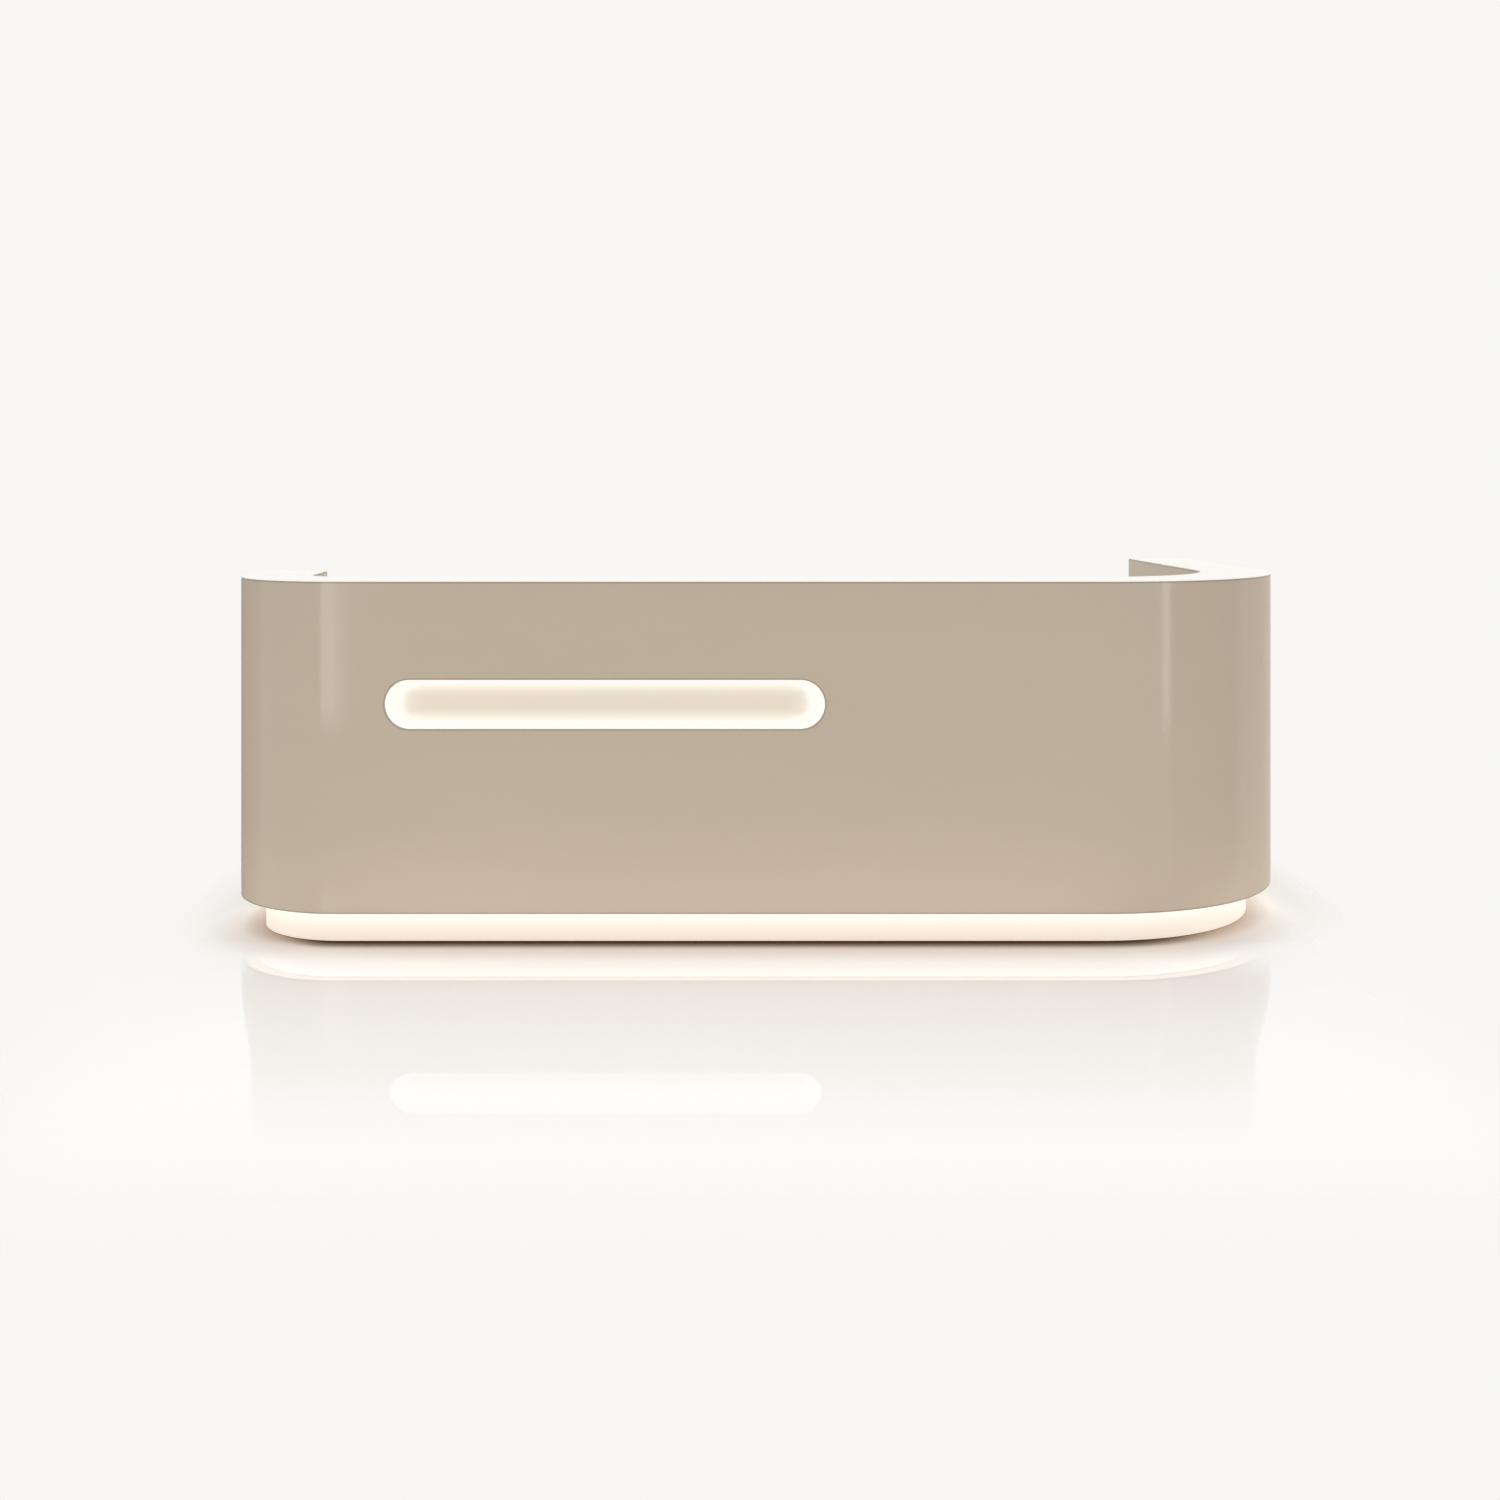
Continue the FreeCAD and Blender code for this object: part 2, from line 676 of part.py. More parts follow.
def make_drawers():
    """Three drawers on side runners, and the cam lock in the upper front."""
    lock_hole = cylinder("lock_x", "front_back_y", "lock_z", "lock_radius + lock_fit", "front_thickness",
                         towards=(0, 1, 0))
    channels = []
    for i, name in enumerate(DRAWER_NAMES):
        front_z = "lowest_front_z + %d * drawer_pitch" % i
        front = box("pedestal_x + front_side_reveal", "front_back_y", front_z,
                    "pedestal_width - 2 * front_side_reveal", "front_thickness", "drawer_front_height")
        node(cut(front, lock_hole) if name == "upper" else front, name + "_drawer_front")
        box_z = front_z + " + drawer_lift"
        drawer_box(name, box_z)
        runner_z = box_z + " + runner_drop"
        y = "front_back_y - front_gap - drawer_length"
        left_channel, left_bar = runner_pair("pedestal_inner_x", y, runner_z, 1)
        right_channel, right_bar = runner_pair("pedestal_inner_x + pedestal_inner_width", y, runner_z, -1)
        channels += [left_channel, right_channel]
        node(group(left_bar, right_bar), name + "_drawer_runners")
    node(group(*channels), "cabinet_runners")

    along = dict(towards=(0, 1, 0))
    barrel = cylinder("lock_x", "lock_rear_y", "lock_z", "lock_radius", "lock_length", **along)
    head = cylinder("lock_x", "front_face_y", "lock_z", "lock_head_radius", "lock_head_height", **along)
    cam = box("lock_x", "lock_rear_y", "lock_z - cam_width / 2", "cam_length", "cam_thickness", "cam_width")
    slot = box("lock_x - key_slot_width / 2", "front_face_y + lock_head_height - key_slot_depth",
               "lock_z - key_slot_length / 2", "key_slot_width", "key_slot_depth", "key_slot_length")
    node(cut(fuse(barrel, head, cam), slot), "drawer_lock")


def make_cupboard():
    """Two-door cupboard under the return worktop, with a fixed shelf."""
    depth = "cupboard_depth"
    sides = [box("cupboard_x", y, "0", depth, "board_thickness", "worktop_under")
             for y in ("cupboard_near_y", "cupboard_far_y - board_thickness")]
    node(group(*sides), "cupboard_sides")
    inside_y = "cupboard_near_y + board_thickness"
    inside_width = "cupboard_width - 2 * board_thickness"
    node(box("cupboard_x", inside_y, "kick_height", depth, inside_width, "board_thickness"),
         "cupboard_bottom")
    shelf_depth = "cupboard_depth - panel_thickness - shelf_setback"
    node(box("cupboard_x + shelf_setback", inside_y, "shelf_z", shelf_depth, inside_width,
             "board_thickness"), "cupboard_shelf")
    node(box("cupboard_x + cupboard_depth - panel_thickness", inside_y, "carcass_floor",
             "panel_thickness", inside_width, "worktop_under - (carcass_floor)"), "cupboard_back")
    kicks = (
        box("pedestal_inner_x", "pedestal_front_y - kick_setback", "0",
            "pedestal_inner_width", "panel_thickness", "kick_height"),
        box("cupboard_x + kick_setback", inside_y, "0", "panel_thickness", inside_width, "kick_height"),
    )
    node(group(*kicks), "kick_boards")


def hinge(side, z):
    """Butt hinge on the outer edge of one door: frame leaf, door leaf and pin."""
    sign = -1 if side == "near" else 1
    axis_y = "cupboard_middle_y + %d * (hinge_offset)" % sign
    axis = ("hinge_x", axis_y)

    def plate(x, outward, length, low, height):
        """Flat leaf that starts a distance outward of the carcass side and is one leaf thick."""
        start = "cupboard_middle_y + %d * (cupboard_width / 2 + %s)" % (sign, outward)
        y = start if sign > 0 else "%s - hinge_leaf" % start
        return box(x, y, low, length, "hinge_leaf", height)

    def knuckle(level):
        low = "%s + %d * knuckle_height" % (z, level)
        gap = "hinge_knuckle_gap" if level == 1 else "0"
        return low + " + " + gap, "knuckle_height - 2 * " + gap

    room = "hinge_radius + hinge_knuckle_gap"
    bore = cylinder(*axis, z, "hinge_pin_radius + hinge_fit", "hinge_height")
    frame = [plate("hinge_x + " + room, "0", "hinge_leaf_width - (%s)" % room, z, "hinge_height")]
    for level in (0, 2):
        low, height = knuckle(level)
        frame.append(cylinder(*axis, low, "hinge_radius", height))
        frame.append(plate("hinge_x", "0", room, low, height))
    low, height = knuckle(1)
    reach = "front_thickness + front_gap / 2"
    inward = "-front_side_reveal"
    door = [
        plate("hinge_x - (%s)" % reach, inward, "%s - (%s)" % (reach, room), z, "hinge_height"),
        cylinder(*axis, low, "hinge_radius", height),
        plate("hinge_x - (%s)" % room, inward, room, low, height),
    ]
    pin = cylinder(*axis, z, "hinge_pin_radius", "hinge_height")
    return cut(fuse(*frame), bore), cut(fuse(*door), bore), pin


def make_doors():
    """Pair of doors with butt hinges at their outer edges and a finger gap between them."""
    frames = []
    pins = []
    levels = ("kick_height + hinge_inset", "kick_height + door_height - hinge_inset - hinge_height")
    for side in ("near", "far"):
        y = ("cupboard_near_y + front_side_reveal" if side == "near"
             else "cupboard_far_y - front_side_reveal - door_width")
        node(box("door_face_x", y, "kick_height", "front_thickness", "door_width", "door_height"),
             side + "_door")
        leaves = []
        for z in levels:
            frame, leaf, pin = hinge(side, z)
            frames.append(frame)
            leaves.append(leaf)
            pins.append(pin)
        node(group(*leaves), side + "_door_leaves")
    node(group(*frames), "hinge_frame_leaves")
    node(group(*pins), "hinge_pins")


def make_lighting_controls():
    """Drivers under the worktop with their cable glands, and the wall switch with its rocker."""
    drivers = []
    for i in range(DRIVERS):
        x = "driver_x + %d * driver_spacing" % i
        y = "inner_front_y + bracket_reach + gland_length"
        z = "worktop_under - driver_height"
        case = box(x, y, z, "driver_length", "driver_width", "driver_height")
        glands = [cylinder(start, "%s + driver_width / 2" % y, "%s + driver_height / 2" % z,
                           "gland_radius", "gland_length", towards=(1, 0, 0))
                  for start in ("%s - gland_length" % x, "%s + driver_length" % x)]
        drivers.append(fuse(case, *glands))
    node(group(*drivers), "led_drivers")

    plate = box("switch_x - switch_size / 2", "inner_front_y", "switch_z - switch_size / 2",
                "switch_size", "switch_thickness", "switch_size")
    window_width = "rocker_width + 2 * rocker_fit"
    window_height = "rocker_height + 2 * rocker_fit"
    window = box("switch_x - (%s) / 2" % window_width, "inner_front_y + rocker_floor",
                 "switch_z - (%s) / 2" % window_height, window_width,
                 "switch_thickness - rocker_floor", window_height)
    node(cut(plate, window), "switch_plate")

    body = doc.addObject("PartDesign::Body", "LightRocker")
    outline = sketch_on(body, "Outline", "-rocker_thickness / 2")
    draw_rectangle(outline, "-rocker_width / 2", "-rocker_height / 2", "rocker_width", "rocker_height")
    pad(body, outline, "rocker_thickness")
    upright = FreeCAD.Rotation(FreeCAD.Vector(1, 0, 0), 90 + SIZES["rocker_tilt"])
    body.Placement = FreeCAD.Placement(FreeCAD.Vector(), upright)
    put(body, "switch_x", "rocker_pivot_y", "switch_z")
    node(body, "light_rocker")


make_wall()
make_carcass()
make_plinth()
make_niche()
make_worktops()
make_pedestal()
make_drawers()
make_cupboard()
make_doors()
make_lighting_controls()
doc.recompute()

for thing in doc.Objects:
    if "Invalid" in thing.State or "Error" in thing.State:
        raise RuntimeError("%s is in state %s" % (thing.Label, thing.State))
for thing in nodes:
    if thing.Shape.isNull() or not thing.Shape.isValid() or not thing.Shape.Solids:
        raise RuntimeError("%s has no valid solid" % thing.Label)

os.makedirs("parts", exist_ok=True)
for thing in nodes:
    thing.Shape.exportStep("parts/%s.step" % thing.Label)
    print(thing.Label, len(thing.Shape.Solids), "solids", round(thing.Shape.Volume / 1000), "cm3")
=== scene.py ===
import math

import bmesh
import bpy
from mathutils import Matrix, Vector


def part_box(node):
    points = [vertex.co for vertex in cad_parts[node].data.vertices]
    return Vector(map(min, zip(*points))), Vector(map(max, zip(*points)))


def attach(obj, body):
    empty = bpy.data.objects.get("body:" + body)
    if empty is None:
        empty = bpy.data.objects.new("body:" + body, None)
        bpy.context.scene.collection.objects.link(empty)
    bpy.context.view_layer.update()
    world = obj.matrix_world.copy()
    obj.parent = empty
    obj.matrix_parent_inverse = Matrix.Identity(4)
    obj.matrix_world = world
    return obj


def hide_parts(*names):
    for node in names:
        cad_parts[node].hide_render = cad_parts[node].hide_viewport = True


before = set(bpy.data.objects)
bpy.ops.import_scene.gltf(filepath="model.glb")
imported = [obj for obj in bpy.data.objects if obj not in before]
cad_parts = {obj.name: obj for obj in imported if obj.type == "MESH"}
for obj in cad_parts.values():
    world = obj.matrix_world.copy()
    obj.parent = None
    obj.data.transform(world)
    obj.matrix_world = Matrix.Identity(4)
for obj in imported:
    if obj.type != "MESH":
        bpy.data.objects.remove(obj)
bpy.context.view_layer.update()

# The wall in plan, in metres. Its outer line runs from the short wing's end round the front to the long wing's end.
FRONT_Y = -0.705
LEFT_X = -1.520
RIGHT_X = 1.520
SHORT_WING_END = -0.150
LONG_WING_END = 0.705
LEFT_CENTRE = (-1.200, -0.385)
LEFT_RADIUS = 0.320
RIGHT_CENTRE = (0.895, -0.080)
RIGHT_RADIUS = 0.625
WALL = 0.200
SKIN = 0.012
SKIN_EDGE = 0.0015

# Eased edges of boards, fronts and hinges, and the angles up to which fittings look smooth.
BOARD_EDGE, FACE_EDGE, HINGE_EDGE = 0.0008, 0.0012, 0.0003
ROUNDED, TURNED, DRESSED = 25.0, 20.0, 30.0

# The panels meet a little way along the flat front, filled and sprayed over, so that no joint shows.
SEAM = 0.002

# Heights from the floor up.
FOOT_GAP = 0.002
PLINTH_TOP = 0.092
WORKTOP_UNDER = 0.725
WORKTOP_TOP = 0.750
LEDGE_UNDER = 0.997
LEDGE_TOP = 1.000
LEDGE_GAP = 0.0004

# Plinth, set back under the wall, and the light profile in front of it.
PLINTH_RECESS = 0.070
PLINTH_BOARD = 0.018
INNER_PLINTH_INSET = 0.157
LIGHT_INSET = 0.044
LIGHT_WIDTH = 0.018
LIGHT_UNDER = 0.084
PROFILE_UNDER = 0.0895
COVER_GAP = 0.0005

# Niche in the front panel: a round-ended opening whose lip hides a ring of light.
NICHE_X = -0.467
NICHE_Z = 0.663
NICHE_LENGTH = 1.200
NICHE_HEIGHT = 0.134
NICHE_LIP = 0.008
NICHE_WALL = 0.008
NICHE_FRONT_Y = -0.693
NICHE_BACK_Y = -0.603
RING_WIDTH = 0.005
RING_DEPTH = 0.014

# Staff side: where its leg, grommets and small fittings are.
BRACKET_START, BRACKET_STEP, BRACKETS = -0.489, 0.341, 5
BRACKET_FACE_Y, BRACKET_ARM_UNDER = -0.501, 0.721
LEG_PLACE, LEG_SCREW_CIRCLE, FLANGE = (0.908, 0.007), 0.047, 0.006
GROMMETS, FINGER_HEIGHT = ((-0.3185, -0.423), (0.7045, -0.423)), 0.7478
DRAWER_SCREW_Y = 0.057
DOOR_SCREW_X, FRAME_SCREW_X = 0.8352, 0.8660
HINGE_SCREW_HEIGHTS = (0.154, 0.186, 0.585, 0.617)
SLEEVE_FOOT = 0.142
SWITCH_FACE_Y, SWITCH_HEIGHT = -0.496, 0.875
DRIVER_STARTS, DRIVER_LUG_UNDER = (-0.650, -0.330), 0.691

UP, DOWN = (0.0, 0.0, 1.0), (0.0, 0.0, -1.0)
IN, OUT = (0.0, 1.0, 0.0), (0.0, -1.0, 0.0)


def linked(obj):
    bpy.context.scene.collection.objects.link(obj)
    return obj


def add(tree, kind, inputs=None, **settings):
    """A node with its settings, and its inputs set to values or joined to other nodes' sockets."""
    made = tree.nodes.new(kind)
    for name, value in settings.items():
        setattr(made, name, value)
    for name, value in (inputs or {}).items():
        if isinstance(value, bpy.types.NodeSocket):
            tree.links.new(value, made.inputs[name])
        else:
            made.inputs[name].default_value = value
    return made


def output(tree, kind, inputs=None, **settings):
    return add(tree, kind, inputs, **settings).outputs[0]


def maths(tree, operation, a, b=0.0, clamp=False):
    return output(tree, "ShaderNodeMath", {0: a, 1: b}, operation=operation, use_clamp=clamp)


def product(tree, value, *others):
    for other in others:
        value = maths(tree, "MULTIPLY", value, other)
    return value


def inverse(tree, value):
    return maths(tree, "SUBTRACT", 1.0, value)


def distance(tree, a, b):
    return maths(tree, "SQRT", maths(tree, "ADD", product(tree, a, a), product(tree, b, b)))


def ranged(tree, value, low, high, to_low=0.0, to_high=1.0, ease="SMOOTHSTEP"):
    """From to_low where value is low to to_high where it is high; low may be the larger."""
    inputs = {"Value": value, "From Min": low, "From Max": high, "To Min": to_low, "To Max": to_high}
    return output(tree, "ShaderNodeMapRange", inputs, interpolation_type=ease)


def mixed(tree, factor, a, b):
    return add(tree, "ShaderNodeMix", {0: factor, 6: a, 7: b}, data_type="RGBA").outputs[2]


def noise(tree, place, scale, detail=2.0, roughness=0.5):
    inputs = {"Vector": place, "Scale": scale, "Detail": detail, "Roughness": roughness}
    return add(tree, "ShaderNodeTexNoise", inputs).outputs["Fac"]


def stretched(tree, place, scale):
    return output(tree, "ShaderNodeMapping", {"Vector": place, "Scale": scale})


def object_place(tree):
    return add(tree, "ShaderNodeTexCoord").outputs["Object"]


def separated(tree, vector):
    return add(tree, "ShaderNodeSeparateXYZ", {0: vector}).outputs


def grouped(tree, group, place):
    """The outputs of a shared group at a place."""
    return add(tree, "ShaderNodeGroup", {"Place": place}, node_tree=group).outputs


def paint(red, green, blue):
    return (red, green, blue, 1.0)


# Shared effects of the finishes

LOOK = ("Colour", "Roughness", "Height")
GREY = paint(0.5, 0.5, 0.5)


def socket(tree, label, kind, way="INPUT"):
    return tree.interface.new_socket(label, in_out=way, socket_type="NodeSocket" + kind)


def shader_group(name, outputs, **inputs):
    """An empty shader group that reads a place and other inputs, and puts out a look, masks or distances."""
    tree = bpy.data.node_groups.new(name, "ShaderNodeTree")
    socket(tree, "Place", "Vector")
    for label, value in inputs.items():
        kind = {3: "Vector", 4: "Color"}[len(value)] if isinstance(value, tuple) else "Float"
        socket(tree, label, kind).default_value = value
    for label in outputs:
        socket(tree, label, "Color" if label == "Colour" else "Float", "OUTPUT")
    return tree, tree.nodes.new("NodeGroupInput").outputs


def putting_out(tree, **values):
    """Ends a shader group: joins each value to the output of its name."""
    ends = tree.nodes.new("NodeGroupOutput").inputs
    for label, value in values.items():
        tree.links.new(value, ends[label])
    return tree


def shaded(tree, colour, amount, spread):
    """colour made lighter and darker by amount, a value round 0.5, times spread."""
    level = ranged(tree, amount, 0.0, 1.0, 1.0 - spread, 1.0 + spread, "LINEAR")
    return output(tree, "ShaderNodeVectorMath", {0: colour, 1: level}, operation="MULTIPLY")


def sprayed_film():
    """Sprayed paint: slow drifts of shade, fine orange peel, and a gloss that is never quite even."""
    tree, given = shader_group("sprayed_film", LOOK, Paint=GREY, Gloss=0.1, Peel=170.0)
    drift = noise(tree, stretched(tree, given["Place"], (0.7, 0.9, 3.2)), 1.3, 3.0)
    mist = noise(tree, given["Place"], 620.0, 1.0)
    film = shaded(tree, shaded(tree, given["Paint"], drift, 0.035), mist, 0.012)
    haze = ranged(tree, noise(tree, given["Place"], 5.0, 5.0, 0.6), 0.35, 0.75, 0.0, 0.035)
    rough = maths(tree, "ADD", given["Gloss"], haze)
    peel = noise(tree, given["Place"], given["Peel"], 1.0)
    return putting_out(tree, Colour=film, Roughness=rough, Height=peel)


def pressed_board():
    """Printed board face: a fine fleck, a faint long grain, and a pressed texture."""
    tree, given = shader_group("pressed_board", LOOK, Print=GREY, Sheen=0.4, Grain=0.03, Fleck=0.03)
    along = noise(tree, stretched(tree, given["Place"], (3.0, 60.0, 60.0)), 4.0, 4.0, 0.6)
    specks = noise(tree, given["Place"], 900.0, 2.0)
    pores = add(tree, "ShaderNodeTexVoronoi", {"Vector": given["Place"], "Scale": 650.0}).outputs["Distance"]
    printed = mixed(tree, given["Grain"], given["Print"], shaded(tree, given["Print"], along, 0.9))
    printed = mixed(tree, given["Fleck"], printed, shaded(tree, printed, specks, 0.9))
    scuffs = ranged(tree, noise(tree, given["Place"], 7.0, 6.0, 0.65), 0.4, 0.8, 0.0, 0.09)
    rough = maths(tree, "ADD", given["Sheen"], scuffs)
    return putting_out(tree, Colour=printed, Roughness=rough, Height=pores)


def drawn_metal():
    """Rolled or drawn metal: fine lines along its length, and duller patches from handling."""
    tree, given = shader_group("drawn_metal", LOOK, Metal=GREY, Polish=0.3, Lines=(1.0, 1.0, 1.0))
    drawn = {0: given["Place"], 1: given["Lines"]}
    drawn = output(tree, "ShaderNodeVectorMath", drawn, operation="MULTIPLY")
    lines = noise(tree, drawn, 240.0, 3.0, 0.7)
    patches = noise(tree, given["Place"], 30.0, 4.0, 0.6)
    metal = shaded(tree, shaded(tree, given["Metal"], lines, 0.10), patches, 0.10)
    dull = ranged(tree, patches, 0.35, 0.8, -0.04, 0.12)
    rough = maths(tree, "ADD", given["Polish"], dull)
    rough = maths(tree, "ADD", rough, ranged(tree, lines, 0.3, 0.7, -0.05, 0.05))
    return putting_out(tree, Colour=metal, Roughness=rough, Height=lines)


def moulded_skin():
    """Moulded plastic or powder coat: a fine even grain with a few slicker, rubbed places."""
    tree, given = shader_group("moulded_skin", LOOK, Skin=GREY, Sheen=0.45, Grain=1400.0)
    grain = noise(tree, given["Place"], given["Grain"], 2.0, 0.6)
    rubbed = noise(tree, given["Place"], 16.0, 1.0)
    skin = shaded(tree, shaded(tree, given["Skin"], grain, 0.04), rubbed, 0.03)
    rough = maths(tree, "ADD", given["Sheen"], ranged(tree, rubbed, 0.25, 0.80, 0.05, -0.06))
    return putting_out(tree, Colour=skin, Roughness=rough, Height=grain)


def niche_reach(tree, place, middle):
    """How far across from the niche's middle a place is, and how far from the line between its round ends."""
    across = maths(tree, "ABSOLUTE", maths(tree, "SUBTRACT", place["X"], NICHE_X))
    beyond = maths(tree, "MAXIMUM", maths(tree, "SUBTRACT", across, (NICHE_LENGTH - NICHE_HEIGHT) / 2), 0.0)
    return across, distance(tree, beyond, maths(tree, "SUBTRACT", place["Z"], middle))


def painted_edge_shade():
    """1 in the thin darker line of painted shade along the skins' top and bottom edges and round the niche's rim."""
    tree, given = shader_group("painted_edge_shade", ["Line"])
    place = separated(tree, given["Place"])
    top = ranged(tree, place["Z"], LEDGE_UNDER - 0.0065, LEDGE_UNDER - 0.0025)
    bottom = ranged(tree, place["Z"], PLINTH_TOP + 0.0060, PLINTH_TOP + 0.0025)
    reach = niche_reach(tree, place, NICHE_Z)[1]
    rim = ranged(tree, reach, NICHE_HEIGHT / 2 + 0.0060, NICHE_HEIGHT / 2 + 0.0025)
    rim = product(tree, rim, maths(tree, "LESS_THAN", place["Y"], NICHE_FRONT_Y + 0.001))
    return putting_out(tree, Line=maths(tree, "MAXIMUM", maths(tree, "MAXIMUM", top, bottom), rim))


def niche_glow():
    """How strongly the painted light of the ring washes a place in the niche: most at its edge and at its round ends.
    """
    tree, given = shader_group("niche_glow", ["Wash"])
    across, radius = niche_reach(tree, separated(tree, given["Place"]), NICHE_Z - 0.006)
    edge = ranged(tree, radius, 0.010, 0.058)
    end = ranged(tree, across, NICHE_LENGTH / 2 - 0.105, NICHE_LENGTH / 2 + 0.015)
    wash = maths(tree, "MAXIMUM", edge, end)
    return putting_out(tree, Wash=maths(tree, "ADD", wash, product(tree, edge, end), clamp=True))


def wall_line():
    """How far out from the wall's outer line a place is, and its turn round a corner: 0 at the front, 1 at the side."""
    tree, given = shader_group("wall_line", ["Clear", "Turn"])
    place = separated(tree, given["Place"])
    # The two corners differ by the same step in place and radius.
    step = product(tree, maths(tree, "GREATER_THAN", place["X"], 0.0), RIGHT_RADIUS - LEFT_RADIUS)
    side = maths(tree, "ADD", maths(tree, "ADD", maths(tree, "ABSOLUTE", place["X"]), LEFT_CENTRE[0]), step)
    ahead = maths(tree, "SUBTRACT", maths(tree, "ADD", step, LEFT_CENTRE[1]), place["Y"])
    side = maths(tree, "MAXIMUM", side, 0.0)
    reach = distance(tree, side, maths(tree, "MAXIMUM", ahead, 0.0))
    clear = maths(tree, "SUBTRACT", maths(tree, "SUBTRACT", reach, step), LEFT_RADIUS)
    turn = maths(tree, "DIVIDE", side, maths(tree, "MAXIMUM", reach, 0.001))
    return putting_out(tree, Clear=clear, Turn=turn)


FILM = sprayed_film()
BOARD = pressed_board()
METAL = drawn_metal()
MOULDED = moulded_skin()
NICHE_WASH = niche_glow()
PAINTED_EDGE_SHADE = painted_edge_shade()
WALL_LINE = wall_line()

BUMP_DEPTH = 0.0002
# How much the painted shade line darkens the lacquer.
EDGE_SHADE = 0.72


def finish(name, look, values, bump, **surface):
    """A material whose colour, roughness and bump come from one of the shared effects."""
    material = bpy.data.materials.new(name)
    material.use_nodes = True
    tree = material.node_tree
    shader = tree.nodes["Principled BSDF"]
    for label, value in surface.items():
        shader.inputs[label.replace("_", " ")].default_value = value
    made = add(tree, "ShaderNodeGroup", dict(values, Place=object_place(tree)), node_tree=look).outputs
    relief = {"Strength": bump, "Distance": BUMP_DEPTH, "Height": made["Height"]}
    tree.links.new(made["Colour"], shader.inputs["Base Color"])
    tree.links.new(made["Roughness"], shader.inputs["Roughness"])
    tree.links.new(output(tree, "ShaderNodeBump", relief), shader.inputs["Normal"])
    return material


def washed(material, wash, *stops):
    """Adds the light that falls on a surface as a glow: stops run from the dimmest place to the brightest."""
    tree = material.node_tree
    shader = tree.nodes["Principled BSDF"]
    ramp = add(tree, "ShaderNodeValToRGB", {0: wash(tree)})
    points = ramp.color_ramp.elements
    while len(points) < len(stops):
        points.new(0.5)
    for point, (at, colour) in zip(points, stops):
        point.position = at
        point.color = paint(*colour)
    tree.links.new(ramp.outputs[0], shader.inputs["Emission Color"])
    shader.inputs["Emission Strength"].default_value = 1.0
    return material


def with_painted_edge_shade(material):
    """Draws the wall's thin darker line of painted shade, at its edges and round the niche, into a lacquer."""
    tree = material.node_tree
    base = tree.nodes["Principled BSDF"].inputs["Base Color"]
    line = grouped(tree, PAINTED_EDGE_SHADE, object_place(tree))["Line"]
    darker = product(tree, line, 1.0 - EDGE_SHADE)
    tree.links.new(mixed(tree, darker, base.links[0].from_socket, paint(0.0, 0.0, 0.0)), base)
    return material


def plinth_painted_light(tree):
    """Where the plinth's painted light falls: from 0 at the floor to 1 under the light profile."""
    return ranged(tree, separated(tree, object_place(tree))["Z"], 0.0, 0.080, ease="LINEAR")


def niche_painted_light(tree):
    return grouped(tree, NICHE_WASH, object_place(tree))["Wash"]


def soffit_painted_light(tree):
    """1 on the wall's underside in front of the plinth, where painted light stands for the light that reaches it off
    the pale floor.
    """
    place = object_place(tree)
    under = maths(tree, "LESS_THAN", separated(tree, place)["Z"], PLINTH_TOP + 0.0005)
    before = maths(tree, "GREATER_THAN", grouped(tree, WALL_LINE, place)["Clear"], -PLINTH_RECESS)
    return product(tree, under, before)


def sprayed(name, tone, gloss, bump, **surface):
    return finish(name, FILM, {"Paint": paint(*tone), "Gloss": gloss}, bump, **surface)


def board(name, tone, sheen, grain, fleck, bump, **surface):
    values = {"Print": paint(*tone), "Sheen": sheen, "Grain": grain, "Fleck": fleck}
    return finish(name, BOARD, values, bump, **surface)


def metal(name, tone, polish, lines, bump):
    return finish(name, METAL, {"Metal": paint(*tone), "Polish": polish, "Lines": lines}, bump, Metallic=1.0)


def moulded(name, tone, sheen, bump, grain=1400.0, **surface):
    return finish(name, MOULDED, {"Skin": paint(*tone), "Sheen": sheen, "Grain": grain}, bump, **surface)


def lit(name, tone, strength):
    """Opal plastic over a light strip."""
    glow = {"Emission_Color": paint(*tone), "Emission_Strength": strength}
    return moulded(name, (0.80, 0.77, 0.71), sheen=0.35, bump=0.04, **glow)


TAUPE = (0.516, 0.434, 0.344)
LACQUER = sprayed("taupe_lacquer", TAUPE, gloss=0.09, bump=0.03, Specular_IOR_Level=0.38)
# Painted shade: the wall's and lining's lacquers are darker in a thin line under the ledge and above the plinth, and
# the front skin round the niche too.
WALL_LACQUER = with_painted_edge_shade(sprayed("wall_lacquer", TAUPE, gloss=0.09, bump=0.03, Specular_IOR_Level=0.22))
LINING_LACQUER = with_painted_edge_shade(
    sprayed("lining_lacquer", (0.538, 0.438, 0.331), gloss=0.14, bump=0.03, Specular_IOR_Level=0.14)
)
LEDGE_WHITE = board(
    "ledge_white", (0.985, 0.968, 0.936), sheen=0.32, grain=0.0, fleck=0.05, bump=0.03, Specular_IOR_Level=0.12
)
# Painted light: the plinth glows, brighter towards its top, as though lit by the light profile above it.
PLINTH_PAINTED_GLOW = washed(
    sprayed("plinth_white", (0.66, 0.60, 0.51), gloss=0.35, bump=0.05),
    plinth_painted_light,
    (0.0, (0.50, 0.455, 0.385)),
    (0.30, (0.475, 0.438, 0.413)),
    (0.62, (0.51, 0.465, 0.435)),
    (1.0, (0.54, 0.545, 0.585)),
)
PLINTH_PLAIN = sprayed("plinth_plain", (0.86, 0.80, 0.71), gloss=0.35, bump=0.05)
